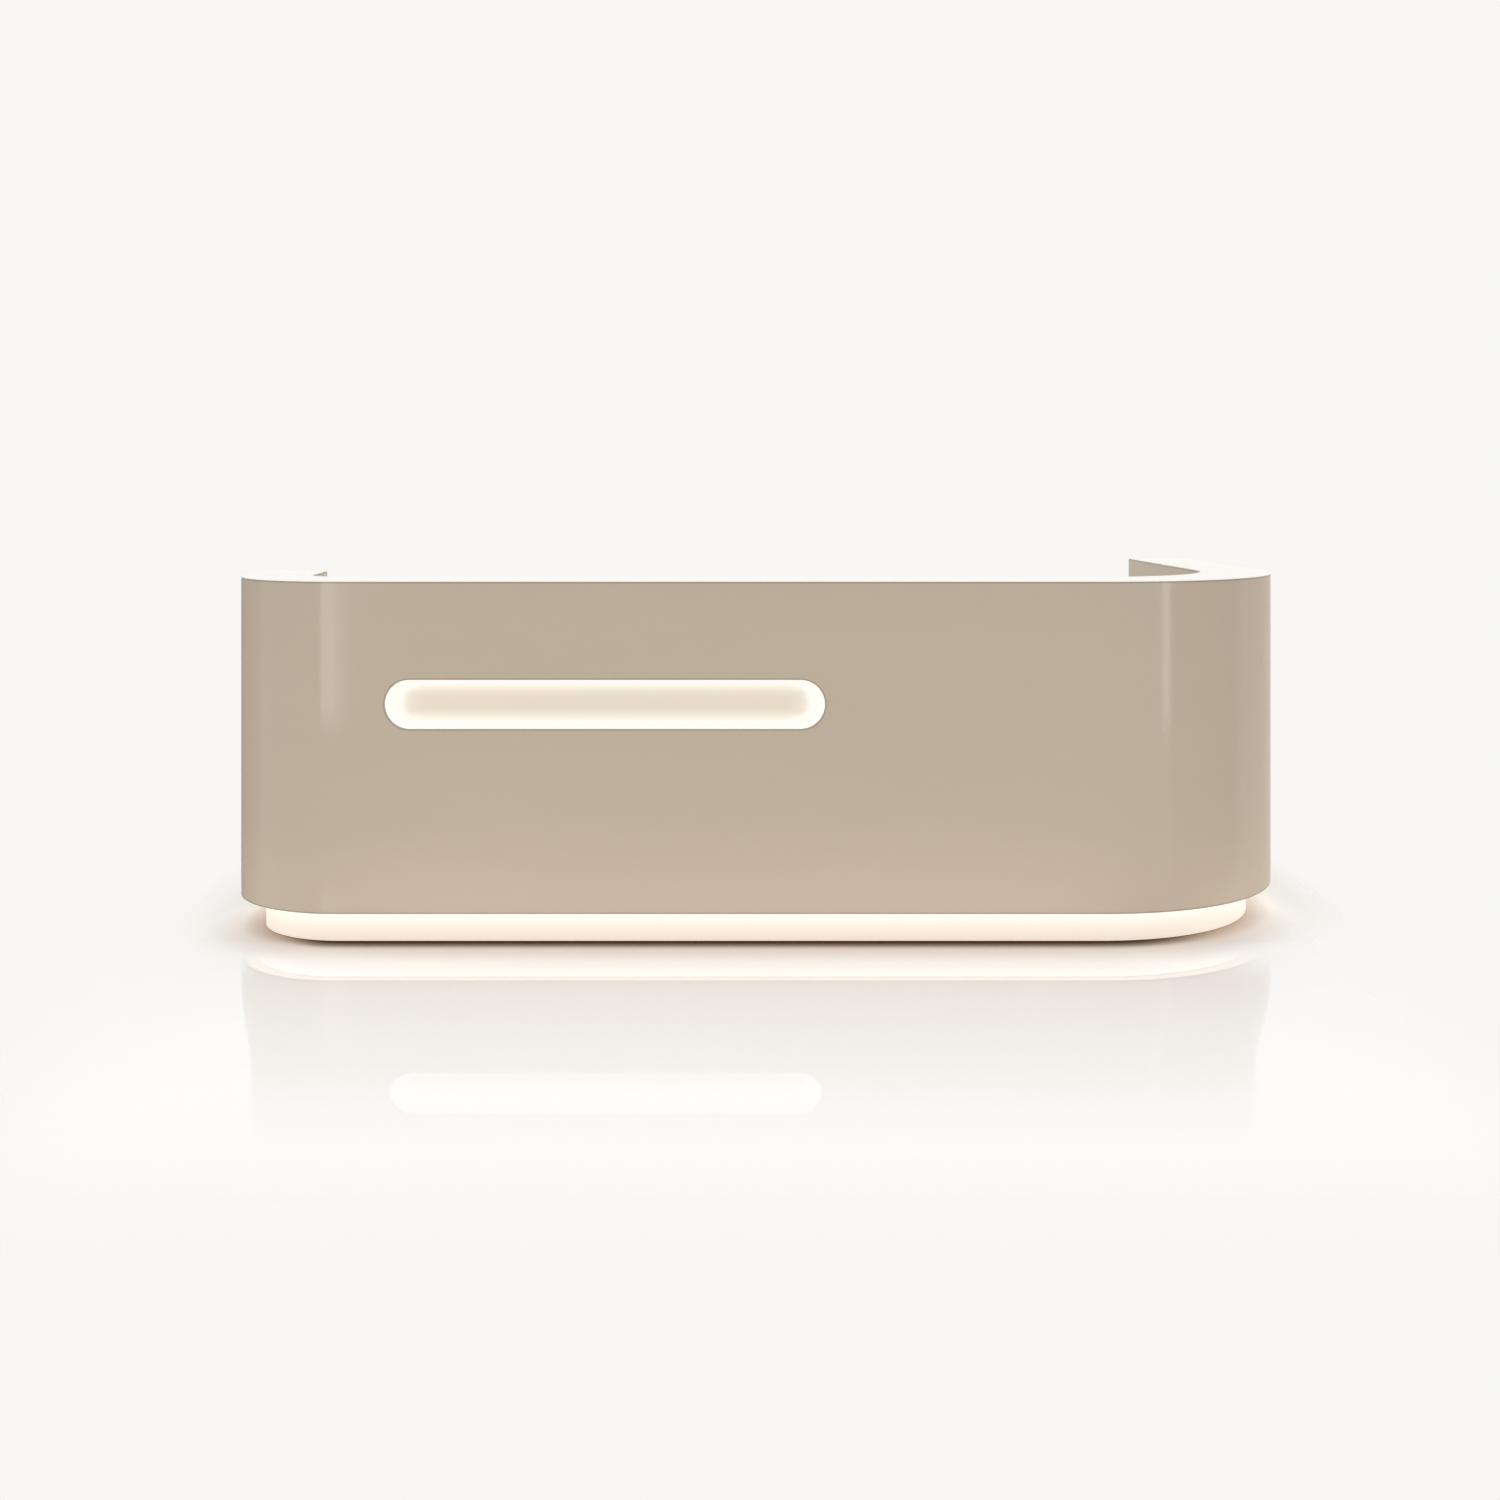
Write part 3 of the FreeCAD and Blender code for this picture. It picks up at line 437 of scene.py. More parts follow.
# Painted light: the niche's walls and back glow, most at the edge and round ends, as though washed by the ring of
# light.
NICHE_PAINTED_GLOW = washed(
    sprayed("niche_white", (0.45, 0.41, 0.35), gloss=0.40, bump=0.05),
    niche_painted_light,
    (0.0, (0.370, 0.320, 0.265)),
    (0.45, (0.45, 0.41, 0.345)),
    (0.80, (0.54, 0.52, 0.47)),
    (1.0, (0.57, 0.59, 0.595)),
)
OPAL = lit("opal_light", (1.0, 0.92, 0.80), 0.5)
LIGHT_COVER = lit("light_cover", (1.0, 0.90, 0.76), 0.75)
EDGE_BAND = board("edge_band", (0.72, 0.69, 0.63), sheen=0.30, grain=0.0, fleck=0.05, bump=0.10)
ZINC = metal("zinc_plate", (0.60, 0.60, 0.60), polish=0.32, lines=(1.0, 0.04, 1.0), bump=0.08)
ALUMINIUM = metal("anodised_profile", (0.75, 0.75, 0.76), polish=0.34, lines=(0.04, 0.04, 1.0), bump=0.06)
POWDER = moulded("bracket_powder", (0.72, 0.70, 0.66), sheen=0.50, bump=0.25, grain=900.0)
GROMMET_PLASTIC = moulded("grommet_plastic", (0.12, 0.12, 0.12), sheen=0.42, bump=0.30)

# The finish of each slot.
FINISHES = {
    "lacquer": LACQUER,
    "white_ledge": LEDGE_WHITE,
    "plinth_white": PLINTH_PLAIN,
    "niche_white": NICHE_PAINTED_GLOW,
    "opal_light": OPAL,
    # Painted light: the core board's underside in front of the plinth glows, as though lit off the pale floor.
    "core_board": washed(
        board("core_board", (0.55, 0.42, 0.28), sheen=0.70, grain=0.25, fleck=0.20, bump=0.4),
        soffit_painted_light,
        (0.0, (0.0, 0.0, 0.0)),
        (1.0, (0.66, 0.61, 0.54)),
    ),
    "worktop_laminate": board("worktop_laminate", (0.80, 0.77, 0.71), sheen=0.36, grain=0.05, fleck=0.08, bump=0.12),
    "carcass_board": board("carcass_board", (0.72, 0.67, 0.59), sheen=0.42, grain=0.06, fleck=0.08, bump=0.2),
    "drawer_board": board("drawer_board", (0.74, 0.69, 0.61), sheen=0.42, grain=0.06, fleck=0.08, bump=0.2),
    "kick_board": board("kick_board", (0.30, 0.26, 0.22), sheen=0.45, grain=0.10, fleck=0.12, bump=0.25),
    "bolt_steel": ZINC,
    "foot_steel": ZINC,
    "runner_steel": ZINC,
    "bracket_steel": POWDER,
    "profile_aluminium": ALUMINIUM,
    "hinge_steel": metal("satin_nickel", (0.66, 0.65, 0.63), polish=0.26, lines=(1.0, 1.0, 0.05), bump=0.06),
    "lock_chrome": metal("lock_chrome", (0.80, 0.80, 0.81), polish=0.10, lines=(1.0, 1.0, 1.0), bump=0.02),
    "driver_case": moulded("driver_case", (0.75, 0.75, 0.74), sheen=0.48, bump=0.25),
    "switch_plastic": moulded("switch_plastic", (0.85, 0.84, 0.80), sheen=0.24, bump=0.05),
    "grommet_plastic": GROMMET_PLASTIC,
}


# Shapes

def arc(centre, radius, start, end, steps):
    turns = [math.radians(start + (end - start) * i / steps) for i in range(steps + 1)]
    return [(centre[0] + radius * math.cos(a), centre[1] + radius * math.sin(a)) for a in turns]


def short_wing_line(setback):
    """From the short wing's end, set back, round the left corner to just past where the flat front begins."""
    start = [(LEFT_X, SHORT_WING_END - setback), (LEFT_X, LEFT_CENTRE[1] + SEAM)]
    return start + arc(LEFT_CENTRE, LEFT_RADIUS, 180, 270, 90) + [(LEFT_CENTRE[0] + SEAM, FRONT_Y)]


def long_wing_line(setback):
    """From just before the flat front ends round the right corner to the long wing's end, set back."""
    end = [(RIGHT_X, RIGHT_CENTRE[1] + SEAM), (RIGHT_X, LONG_WING_END - setback)]
    return [(RIGHT_CENTRE[0] - SEAM, FRONT_Y)] + arc(RIGHT_CENTRE, RIGHT_RADIUS, 270, 360, 120) + end


def sections(setback=0.0):
    """The wall's outer line in its three sections."""
    front = [(LEFT_CENTRE[0] + SEAM, FRONT_Y), (RIGHT_CENTRE[0] - SEAM, FRONT_Y)]
    return (("left", short_wing_line(setback)), ("front", front), ("right", long_wing_line(setback)))


def niche_line(grow=0.0, steps=64):
    """The niche's round-ended outline, grown, across and up, turning so that its outside is on the right."""
    radius = NICHE_HEIGHT / 2 + grow
    reach = (NICHE_LENGTH - NICHE_HEIGHT) / 2
    right = arc((NICHE_X + reach, NICHE_Z), radius, -90, 90, steps)
    left = arc((NICHE_X - reach, NICHE_Z), radius, 90, 270, steps)
    return right + left


def geometry_tree(name, *numbers):
    """An empty tree of Geometry Nodes, and its inputs: a start, named numbers and a finish."""
    tree = bpy.data.node_groups.new(name, "GeometryNodeTree")
    socket(tree, "Geometry", "Geometry")
    for label in numbers:
        socket(tree, label, "Int" if label in ("Count", "Seed") else "Float")
    socket(tree, "Finish", "Material")
    socket(tree, "Geometry", "Geometry", "OUTPUT")
    return tree, tree.nodes.new("NodeGroupInput").outputs


def realized(tree, shape):
    return output(tree, "GeometryNodeRealizeInstances", {"Geometry": shape})


def ended(tree, given, shape):
    """Ends a tree of Geometry Nodes: plain geometry in the finish that it is given."""
    covered = {"Geometry": realized(tree, shape), "Material": given["Finish"]}
    covered = output(tree, "GeometryNodeSetMaterial", covered)
    tree.links.new(covered, tree.nodes.new("NodeGroupOutput").inputs[0])
    return tree


def combined(tree, **parts):
    return output(tree, "ShaderNodeCombineXYZ", parts)


def moved(tree, shape, offset):
    return output(tree, "GeometryNodeTransform", {"Geometry": shape, "Translation": offset})


def instanced(tree, points, shape, **turn):
    return output(tree, "GeometryNodeInstanceOnPoints", dict(turn, Points=points, Instance=shape))


def circle(tree, steps, radius):
    return output(tree, "GeometryNodeCurvePrimitiveCircle", {"Resolution": steps, "Radius": radius})


def facing(tree):
    """The turn that makes an instance face the way that its point's attribute says."""
    way = output(tree, "GeometryNodeInputNamedAttribute", {"Name": "facing"}, data_type="FLOAT_VECTOR")
    return output(tree, "FunctionNodeAlignRotationToVector", {"Vector": way}, axis="Z")


def plan_board():
    """Geometry Nodes: a board on edge that follows a line, with its long edges eased."""
    tree, given = geometry_tree("plan_board", "Inset", "Thickness", "Bottom", "Top", "Edge Round")
    line = output(tree, "GeometryNodeMeshToCurve", {"Mesh": given["Geometry"]})
    line = output(tree, "GeometryNodeSetCurveNormal", {"Curve": line}, mode="Z_UP")
    size = {"Width": given["Thickness"], "Height": maths(tree, "SUBTRACT", given["Top"], given["Bottom"])}
    section = output(tree, "GeometryNodeCurvePrimitiveQuadrilateral", size)
    corners = {"Curve": section, "Count": 3, "Radius": given["Edge Round"], "Limit Radius": True}
    section = output(tree, "GeometryNodeFilletCurve", corners, mode="POLY")
    inward = maths(tree, "ADD", given["Inset"], product(tree, given["Thickness"], 0.5))
    middle = product(tree, maths(tree, "ADD", given["Top"], given["Bottom"]), -0.5)
    section = moved(tree, section, combined(tree, X=product(tree, inward, -1.0), Y=middle))
    swept = {"Curve": line, "Profile Curve": section, "Fill Caps": True}
    return ended(tree, given, output(tree, "GeometryNodeCurveToMesh", swept))


PLAN_BOARD = plan_board()


def made_plain(obj):
    """Puts the mesh that an object's modifiers make in the place of the object's own."""
    made = bpy.data.meshes.new_from_object(obj.evaluated_get(bpy.context.evaluated_depsgraph_get()))
    obj.modifiers.clear()
    obj.data = made
    return made


def grown(name, start, tree, values):
    """A plain mesh that a tree of Geometry Nodes makes from a starting mesh."""
    obj = linked(bpy.data.objects.new(name, start))
    maker = obj.modifiers.new("maker", "NODES")
    maker.node_group = tree
    for item in tree.interface.items_tree:
        if item.in_out == "INPUT" and item.name in values:
            maker[item.identifier] = values[item.name]
    made_plain(obj).name = name
    return obj


def crisp(obj, angle=6.0):
    """Smooth round its curves, and a clear line at every eased edge."""
    obj.data.shade_smooth()
    obj.data.set_sharp_from_angle(angle=math.radians(angle))
    return obj


def line_mesh(points, closed):
    mesh = bpy.data.meshes.new("line")
    steps = [(i, i + 1) for i in range(len(points) - 1)] + ([(len(points) - 1, 0)] if closed else [])
    mesh.from_pydata([(x, y, 0.0) for x, y in points], steps, [])
    return mesh


def board_along(name, node, line, inset, thickness, bottom, top, cover, edge, closed=False, opened=False):
    """A board on edge along a line in plan. A closed line is across and up, and its board runs from back to front."""
    values = {
        "Inset": inset, "Thickness": thickness, "Bottom": bottom, "Top": top, "Edge Round": edge, "Finish": cover,
    }
    obj = grown(name, line_mesh(line, closed), PLAN_BOARD, values)
    if closed:
        obj.data.transform(Matrix.Rotation(math.pi / 2, 4, "X"))
    outward(obj.data)
    crisp(obj)
    if opened:
        open_niche(obj)
    settled(obj, [node])


def outward(mesh):
    bm = bmesh.new()
    bm.from_mesh(mesh)
    bmesh.ops.remove_doubles(bm, verts=bm.verts, dist=1e-6)
    bmesh.ops.recalc_face_normals(bm, faces=bm.faces)
    bm.to_mesh(mesh)
    bm.free()


def meshed(bm, name, cover):
    """A mesh of one finish from bm, which is freed."""
    mesh = bpy.data.meshes.new(name)
    bm.to_mesh(mesh)
    bm.free()
    mesh.materials.append(cover)
    return mesh


def plate(name, outline, front, back, cover):
    """A flat plate that stands upright, from its outline across and up."""
    bm = bmesh.new()
    near = [bm.verts.new((x, front, z)) for x, z in outline]
    far = [bm.verts.new((x, back, z)) for x, z in outline]
    bm.faces.new(near)
    bm.faces.new(list(reversed(far)))
    for i in range(len(outline)):
        j = (i + 1) % len(outline)
        bm.faces.new((near[i], far[i], far[j], near[j]))
    bmesh.ops.recalc_face_normals(bm, faces=bm.faces)
    return crisp(linked(bpy.data.objects.new(name, meshed(bm, name, cover))))


def settled(obj, nodes, body="desk"):
    """The piece stands for its CAD nodes and moves with their body."""
    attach(obj, body)
    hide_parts(*nodes)
    return obj


def make_skins():
    for name, line in sections():
        board_along(
            name + "_skin", name + "_panel", line, 0.0, SKIN, PLINTH_TOP, LEDGE_UNDER, WALL_LACQUER,
            edge=SKIN_EDGE, opened=name == "front",
        )
        board_along(
            name + "_lining", "inner_" + name + "_panel", line, WALL - SKIN, SKIN, PLINTH_TOP,
            LEDGE_UNDER, LINING_LACQUER, edge=SKIN_EDGE,
        )


def open_niche(skin):
    """Cuts the niche's opening through the front skin and eases its front rim."""
    cutter = plate("niche_cutter", niche_line(), FRONT_Y - 0.02, FRONT_Y + 0.05, LACQUER)
    cut = skin.modifiers.new("niche", "BOOLEAN")
    cut.operation = "DIFFERENCE"
    cut.solver = "EXACT"
    cut.object = cutter
    made = made_plain(skin)
    bpy.data.objects.remove(cutter)
    bm = bmesh.new()
    bm.from_mesh(made)
    rim = [
        e for e in bm.edges
        if all(abs(v.co.y - FRONT_Y) < 1e-5 and in_niche(v.co) for v in e.verts) and len(e.link_faces) == 2
    ]
    bmesh.ops.bevel(bm, geom=rim, offset=SKIN_EDGE, segments=3, profile=0.5, affect="EDGES", clamp_overlap=True)
    bm.to_mesh(made)
    bm.free()
    crisp(skin)


def in_niche(point):
    return abs(point.x - NICHE_X) < NICHE_LENGTH / 2 + 0.001 and abs(point.z - NICHE_Z) < NICHE_HEIGHT / 2 + 0.001


def make_ledge():
    width = WALL - 2 * LEDGE_GAP
    for name, line in sections():
        board_along(
            name + "_ledge", "ledge_" + name, line, LEDGE_GAP, width, LEDGE_UNDER, LEDGE_TOP,
            LEDGE_WHITE, edge=0.0008,
        )


def make_plinth():
    for name, line in sections(PLINTH_RECESS):
        board_along(
            name + "_plinth", "plinth_" + name, line, PLINTH_RECESS, PLINTH_BOARD, FOOT_GAP,
            PLINTH_TOP, PLINTH_PAINTED_GLOW, edge=0.001,
        )


def make_niche():
    line = niche_line()
    grow = NICHE_LIP + NICHE_WALL
    board_along(
        "niche_wall", "niche_surround", line, -grow, NICHE_WALL, -NICHE_BACK_Y, -NICHE_FRONT_Y,
        NICHE_PAINTED_GLOW, edge=0.0006, closed=True,
    )
    back = plate("niche_back_plate", niche_line(grow), NICHE_BACK_Y, NICHE_BACK_Y + NICHE_WALL, NICHE_PAINTED_GLOW)
    settled(back, ["niche_back"])
    board_along(
        "niche_ring", "niche_light", line, -NICHE_LIP, RING_WIDTH, -NICHE_FRONT_Y - RING_DEPTH,
        -NICHE_FRONT_Y, OPAL, edge=0.001, closed=True,
    )


def eased(name, node, slot, body="desk", edge=0.001, segments=2, smooth=6.0):
    """A copy of a CAD piece whose sharp outer edges are eased."""
    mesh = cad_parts[node].data.copy()
    mesh.name = name
    if "custom_normal" in mesh.attributes:
        mesh.attributes.remove(mesh.attributes["custom_normal"])
    bm = bmesh.new()
    bm.from_mesh(mesh)
    bmesh.ops.remove_doubles(bm, verts=bm.verts, dist=1e-5)
    bmesh.ops.dissolve_limit(bm, angle_limit=math.radians(0.5), verts=bm.verts, edges=bm.edges)
    bmesh.ops.recalc_face_normals(bm, faces=bm.faces)
    sharp = [e for e in bm.edges if len(e.link_faces) == 2 and e.is_convex and e.calc_face_angle() > 0.6]
    bmesh.ops.bevel(bm, geom=sharp, offset=edge, segments=segments, profile=0.5, affect="EDGES")
    bm.to_mesh(mesh)
    bm.free()
    mesh.materials.clear()
    mesh.materials.append(FINISHES[slot])
    obj = crisp(linked(bpy.data.objects.new(name, mesh)), smooth)
    return settled(obj, [node], body)


def banded(piece):
    """Edge banding on the upright faces of a worktop or shelf."""
    piece.data.materials.append(EDGE_BAND)
    for face in piece.data.polygons:
        if abs(face.normal.z) < 0.3:
            face.material_index = 1


def turned(name, outline, middle, cover, steps=72):
    """A shape turned round an upright axis from a closed half outline of radius and height."""
    bm = bmesh.new()
    ring = [bm.verts.new((radius, 0.0, height)) for radius, height in outline]
    edges = [bm.edges.new(pair) for pair in zip(ring, ring[1:] + ring[:1])]
    bmesh.ops.spin(bm, geom=ring + edges, cent=(0, 0, 0), axis=(0, 0, 1), angle=2 * math.pi, steps=steps)
    bmesh.ops.remove_doubles(bm, verts=bm.verts, dist=1e-6)
    bmesh.ops.dissolve_degenerate(bm, dist=1e-7, edges=bm.edges)
    bmesh.ops.recalc_face_normals(bm, faces=bm.faces)
    mesh = meshed(bm, name, cover)
    mesh.transform(Matrix.Translation(middle + (0.0,)))
    return crisp(linked(bpy.data.objects.new(name, mesh)), TURNED)


def as_one(name, pieces):
    """Several pieces of one finish in one mesh."""
    bm = bmesh.new()
    for piece in pieces:
        bm.from_mesh(piece.data)
    mesh = meshed(bm, name, pieces[0].data.materials[0])
    for piece in pieces:
        bpy.data.objects.remove(piece)
    return crisp(linked(bpy.data.objects.new(name, mesh)), TURNED)


def screw_heads():
    """Geometry Nodes: a screw head with a cross recess on every point, each turned by chance."""
    tree, given = geometry_tree("screw_heads", "Radius", "Height", "Seed")
    crown = product(tree, given["Radius"], 0.62)
    cone = {"Vertices": 20, "Radius Top": crown, "Radius Bottom": given["Radius"], "Depth": given["Height"]}
    head = output(tree, "GeometryNodeMeshCone", cone)
    long = product(tree, given["Radius"], 0.95)
    wide = product(tree, given["Radius"], 0.20)
    lift = combined(tree, Z=given["Height"])
    bars = []
    for x, y in ((long, wide), (wide, long)):
        size = combined(tree, X=x, Y=y, Z=given["Height"])
        bars.append(moved(tree, output(tree, "GeometryNodeMeshCube", {"Size": size}), lift))
    recess = add(tree, "GeometryNodeMeshBoolean", {"Mesh 2": bars[0]}, operation="UNION", solver="EXACT")
    tree.links.new(bars[1], recess.inputs["Mesh 2"])
    cut = {"Mesh 1": head, "Mesh 2": recess.outputs[0]}
    head = output(tree, "GeometryNodeMeshBoolean", cut, operation="DIFFERENCE", solver="EXACT")
    chance = add(tree, "FunctionNodeRandomValue", {"Seed": given["Seed"]}, data_type="FLOAT")
    least, most = [limit for limit in chance.inputs if limit.type == "VALUE"][:2]
    least.default_value, most.default_value = 0.0, 1.57
    angle = next(made for made in chance.outputs if made.type == "VALUE" and made.enabled)
    spin = output(tree, "FunctionNodeAxisAngleToRotation", {"Axis": (0.0, 0.0, 1.0), "Angle": angle})
    turn = {0: facing(tree), 1: spin}
    turn = output(tree, "FunctionNodeRotateRotation", turn, rotation_space="LOCAL")
    return ended(tree, given, instanced(tree, given["Geometry"], head, Rotation=turn))


def sleeve_rows():
    """Geometry Nodes: from every point, an upright row of shelf-pin sleeves."""
    tree, given = geometry_tree("sleeve_rows", "Count", "Pitch", "Radius")
    row = {"Count": given["Count"], "Offset": combined(tree, Z=given["Pitch"])}
    row = output(tree, "GeometryNodeMeshLine", row)
    rows = realized(tree, instanced(tree, given["Geometry"], row))
    sleeve = {"Curve": circle(tree, 14, given["Radius"]), "Profile Curve": circle(tree, 6, 0.0006)}
    sleeve = output(tree, "GeometryNodeCurveToMesh", sleeve)
    return ended(tree, given, instanced(tree, rows, sleeve, Rotation=facing(tree)))


def finger_rings():
    """Geometry Nodes: round every point, a ring of bendy fingers that close a cable hole to a small opening."""
    tree, given = geometry_tree("finger_rings", "Count", "Ring", "Length")
    ring = {"Curve": circle(tree, 96, given["Ring"]), "Count": given["Count"]}
    spots = add(tree, "GeometryNodeCurveToPoints", ring, mode="COUNT")
    size = combined(tree, X=0.0026, Y=given["Length"], Z=0.0009)
    finger = output(tree, "GeometryNodeMeshCube", {"Size": size})
    finger = moved(tree, finger, combined(tree, Y=product(tree, given["Length"], -0.5)))
    out = output(tree, "GeometryNodeInputPosition")
    aim = output(tree, "FunctionNodeAlignRotationToVector", {"Vector": out}, axis="Y")
    ring = realized(tree, instanced(tree, spots.outputs["Points"], finger, Rotation=aim))
    return ended(tree, given, instanced(tree, given["Geometry"], ring, Rotation=facing(tree)))


SCREW_HEADS = screw_heads()
SLEEVE_ROWS = sleeve_rows()
FINGER_RINGS = finger_rings()


def dressed(name, spots, tree, values, slot, body="desk"):
    """Small repeated pieces on a body: spots are places with the way that each one faces."""
    mesh = bpy.data.meshes.new(name)
    mesh.from_pydata([place for place, way in spots], [], [])
    ways = mesh.attributes.new("facing", "FLOAT_VECTOR", "POINT")
    ways.data.foreach_set("vector", [part for place, way in spots for part in way])
    obj = crisp(grown(name, mesh, tree, dict(values, Finish=FINISHES[slot])), DRESSED)
    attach(obj, body)


def screwed(name, spots, slot, body="desk", radius=0.0038, height=0.0016):
    dressed(name, spots, SCREW_HEADS, {"Radius": radius, "Height": height, "Seed": 7}, slot, body)


def make_worktops():
    banded(eased("long_worktop", "main_worktop", "worktop_laminate", edge=0.0015, segments=3))
    banded(eased("side_worktop", "return_worktop", "worktop_laminate", edge=0.0015, segments=3))
    eased("wall_brackets", "worktop_brackets", "bracket_steel", edge=0.0012)
    spots = []
    for i in range(BRACKETS):
        x = BRACKET_START + BRACKET_STEP * i
        spots += [((x, BRACKET_FACE_Y, z), IN) for z in (0.615, 0.680)]
        spots += [((x, y, BRACKET_ARM_UNDER), DOWN) for y in (-0.445, -0.370)]
    screwed("bracket_screws", spots, "bolt_steel", radius=0.0048, height=0.0022)

    foot = [
        (0.0, 0.0), (0.0585, 0.0), (0.060, 0.0015), (0.060, 0.0045), (0.0585, FLANGE), (0.0335, FLANGE),
        (0.0313, 0.0068), (0.030, 0.0095),
    ]
    head = [(radius, WORKTOP_UNDER - height) for radius, height in reversed(foot)]
    settled(turned("turned_leg", foot + head, LEG_PLACE, POWDER), ["support_leg"])
    spots = []
    for x, y in arc(LEG_PLACE, LEG_SCREW_CIRCLE, 45, 315, 3):
        spots += [((x, y, FLANGE), UP), ((x, y, WORKTOP_UNDER - FLANGE), DOWN)]
    screwed("leg_screws", spots, "bolt_steel", radius=0.0045, height=0.0020)

    collar = [
        (0.0300, WORKTOP_UNDER), (0.0325, WORKTOP_UNDER), (0.0325, WORKTOP_TOP), (0.0402, WORKTOP_TOP),
        (0.0405, 0.7506), (0.0400, 0.7518), (0.0385, 0.7527), (0.0365, 0.7530), (0.0325, 0.7530), (0.0308, 0.7525),
        (0.0300, 0.7512),
    ]
    collars = [turned("collar", collar, place, GROMMET_PLASTIC) for place in GROMMETS]
    settled(as_one("cable_collars", collars), ["cable_grommets"])
    spots = [(place + (FINGER_HEIGHT,), UP) for place in GROMMETS]
    dressed("cable_fingers", spots, FINGER_RINGS, {"Count": 44, "Ring": 0.0303, "Length": 0.017}, "grommet_plastic")


def make_pedestal():
    eased("pedestal_gables", "pedestal_sides", "lacquer")
    for piece, node in (("lid", "top"), ("rear", "back"), ("floor", "bottom")):
        eased("pedestal_" + piece, "pedestal_" + node, "carcass_board", edge=BOARD_EDGE)
    eased("cabinet_channels", "cabinet_runners", "runner_steel", edge=0.0004)
    for name in ("lower", "middle", "upper"):
        drawer = name + "_drawer"
        eased(drawer + "_face", drawer + "_front", "lacquer", drawer, edge=FACE_EDGE, segments=3)
        eased(drawer + "_tray", drawer + "_box", "drawer_board", drawer)
        eased(drawer + "_bars", drawer + "_runners", "runner_steel", drawer, edge=0.0008)
        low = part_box(drawer + "_box")[0].z
        spots = [((x, DRAWER_SCREW_Y, low + z), OUT) for x in (-1.17, -0.95) for z in (0.035, 0.090)]
        screwed(drawer + "_screws", spots, "bolt_steel", drawer)
    eased("cam_lock", "drawer_lock", "lock_chrome", "lock_cylinder", edge=0.0004, segments=3, smooth=ROUNDED)


def make_cupboard():
    eased("cupboard_gables", "cupboard_sides", "lacquer")
    eased("cupboard_floor", "cupboard_bottom", "carcass_board", edge=BOARD_EDGE)
    banded(eased("cupboard_middle_shelf", "cupboard_shelf", "carcass_board", edge=BOARD_EDGE))
    eased("cupboard_rear", "cupboard_back", "carcass_board", edge=BOARD_EDGE)
    eased("kick_strips", "kick_boards", "kick_board")
    for side, way, face, frame_face in (("near", OUT, 0.1720, 0.1705), ("far", IN, 0.6940, 0.6955)):
        body = side + "_cupboard_door"
        eased(side + "_door_board", side + "_door", "lacquer", body, edge=FACE_EDGE, segments=3)
        eased(side + "_door_hinges", side + "_door_leaves", "hinge_steel", body, edge=HINGE_EDGE, smooth=ROUNDED)
        spots = [((DOOR_SCREW_X, face, z), way) for z in HINGE_SCREW_HEIGHTS]
        screwed(side + "_door_screws", spots, "hinge_steel", body, radius=0.0032, height=0.0009)
        spots = [((FRAME_SCREW_X, frame_face, z), way) for z in HINGE_SCREW_HEIGHTS]
        screwed(side + "_frame_screws", spots, "hinge_steel", radius=0.0036, height=0.0009)
    eased("frame_hinges", "hinge_frame_leaves", "hinge_steel", edge=HINGE_EDGE, smooth=ROUNDED)
    sides = ((0.1911, IN), (0.6749, OUT))
    spots = [((x, y, SLEEVE_FOOT), way) for x in (0.905, 1.250) for y, way in sides]
    dressed("shelf_sleeves", spots, SLEEVE_ROWS, {"Count": 17, "Pitch": 0.032, "Radius": 0.003}, "hinge_steel")


def make_wall_ends():
    for side in ("left", "right"):
        eased(side + "_wing_end", side + "_end_panel", "lacquer", edge=FACE_EDGE)
    eased("plinth_wing_ends", "plinth_end_boards", "plinth_white")
    line = short_wing_line(PLINTH_RECESS) + long_wing_line(PLINTH_RECESS)
    board_along(
        "staff_plinth", "inner_plinth_boards", line, INNER_PLINTH_INSET, PLINTH_BOARD, FOOT_GAP,
        PLINTH_TOP, PLINTH_PLAIN, edge=0.001,
    )
    board_along(
        "light_channel", "plinth_light_profile", line, LIGHT_INSET, LIGHT_WIDTH, PROFILE_UNDER,
        PLINTH_TOP, ALUMINIUM, edge=0.0003,
    )
    board_along(
        "light_cover", "plinth_light_diffuser", line, LIGHT_INSET + COVER_GAP,
        LIGHT_WIDTH - 2 * COVER_GAP, LIGHT_UNDER, PROFILE_UNDER, LIGHT_COVER, edge=0.0035,
    )


def make_controls():
    eased("switch_frame", "switch_plate", "switch_plastic", edge=0.0022, segments=4, smooth=ROUNDED)
    eased("switch_key", "light_rocker", "switch_plastic", "switch_rocker", edge=0.0012, segments=3, smooth=ROUNDED)
    spots = [((x, SWITCH_FACE_Y, SWITCH_HEIGHT), IN) for x in (-0.650, -0.590)]
    screwed("switch_screws", spots, "bolt_steel", radius=0.0026, height=0.0008)
    eased("driver_cases", "led_drivers", "driver_case", edge=0.0018, segments=3, smooth=ROUNDED)
    spots = []
    for start in DRIVER_STARTS:
        spots += [((start + x, y, DRIVER_LUG_UNDER), DOWN) for x in (0.010, 0.210) for y in (-0.319, -0.279)]
    screwed("driver_screws", spots, "bolt_steel", radius=0.0030, height=0.0012)


make_skins()
make_ledge()
make_plinth()
make_niche()
make_wall_ends()
make_worktops()
make_pedestal()
make_cupboard()
make_controls()

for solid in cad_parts.values():
    for place in solid.material_slots:
        place.material = FINISHES[place.material.name.split(".")[0]]


# Floor, light and camera

PALE = paint(0.939, 0.930, 0.896)
FLOOR_TONE = paint(0.978, 0.981, 0.985)
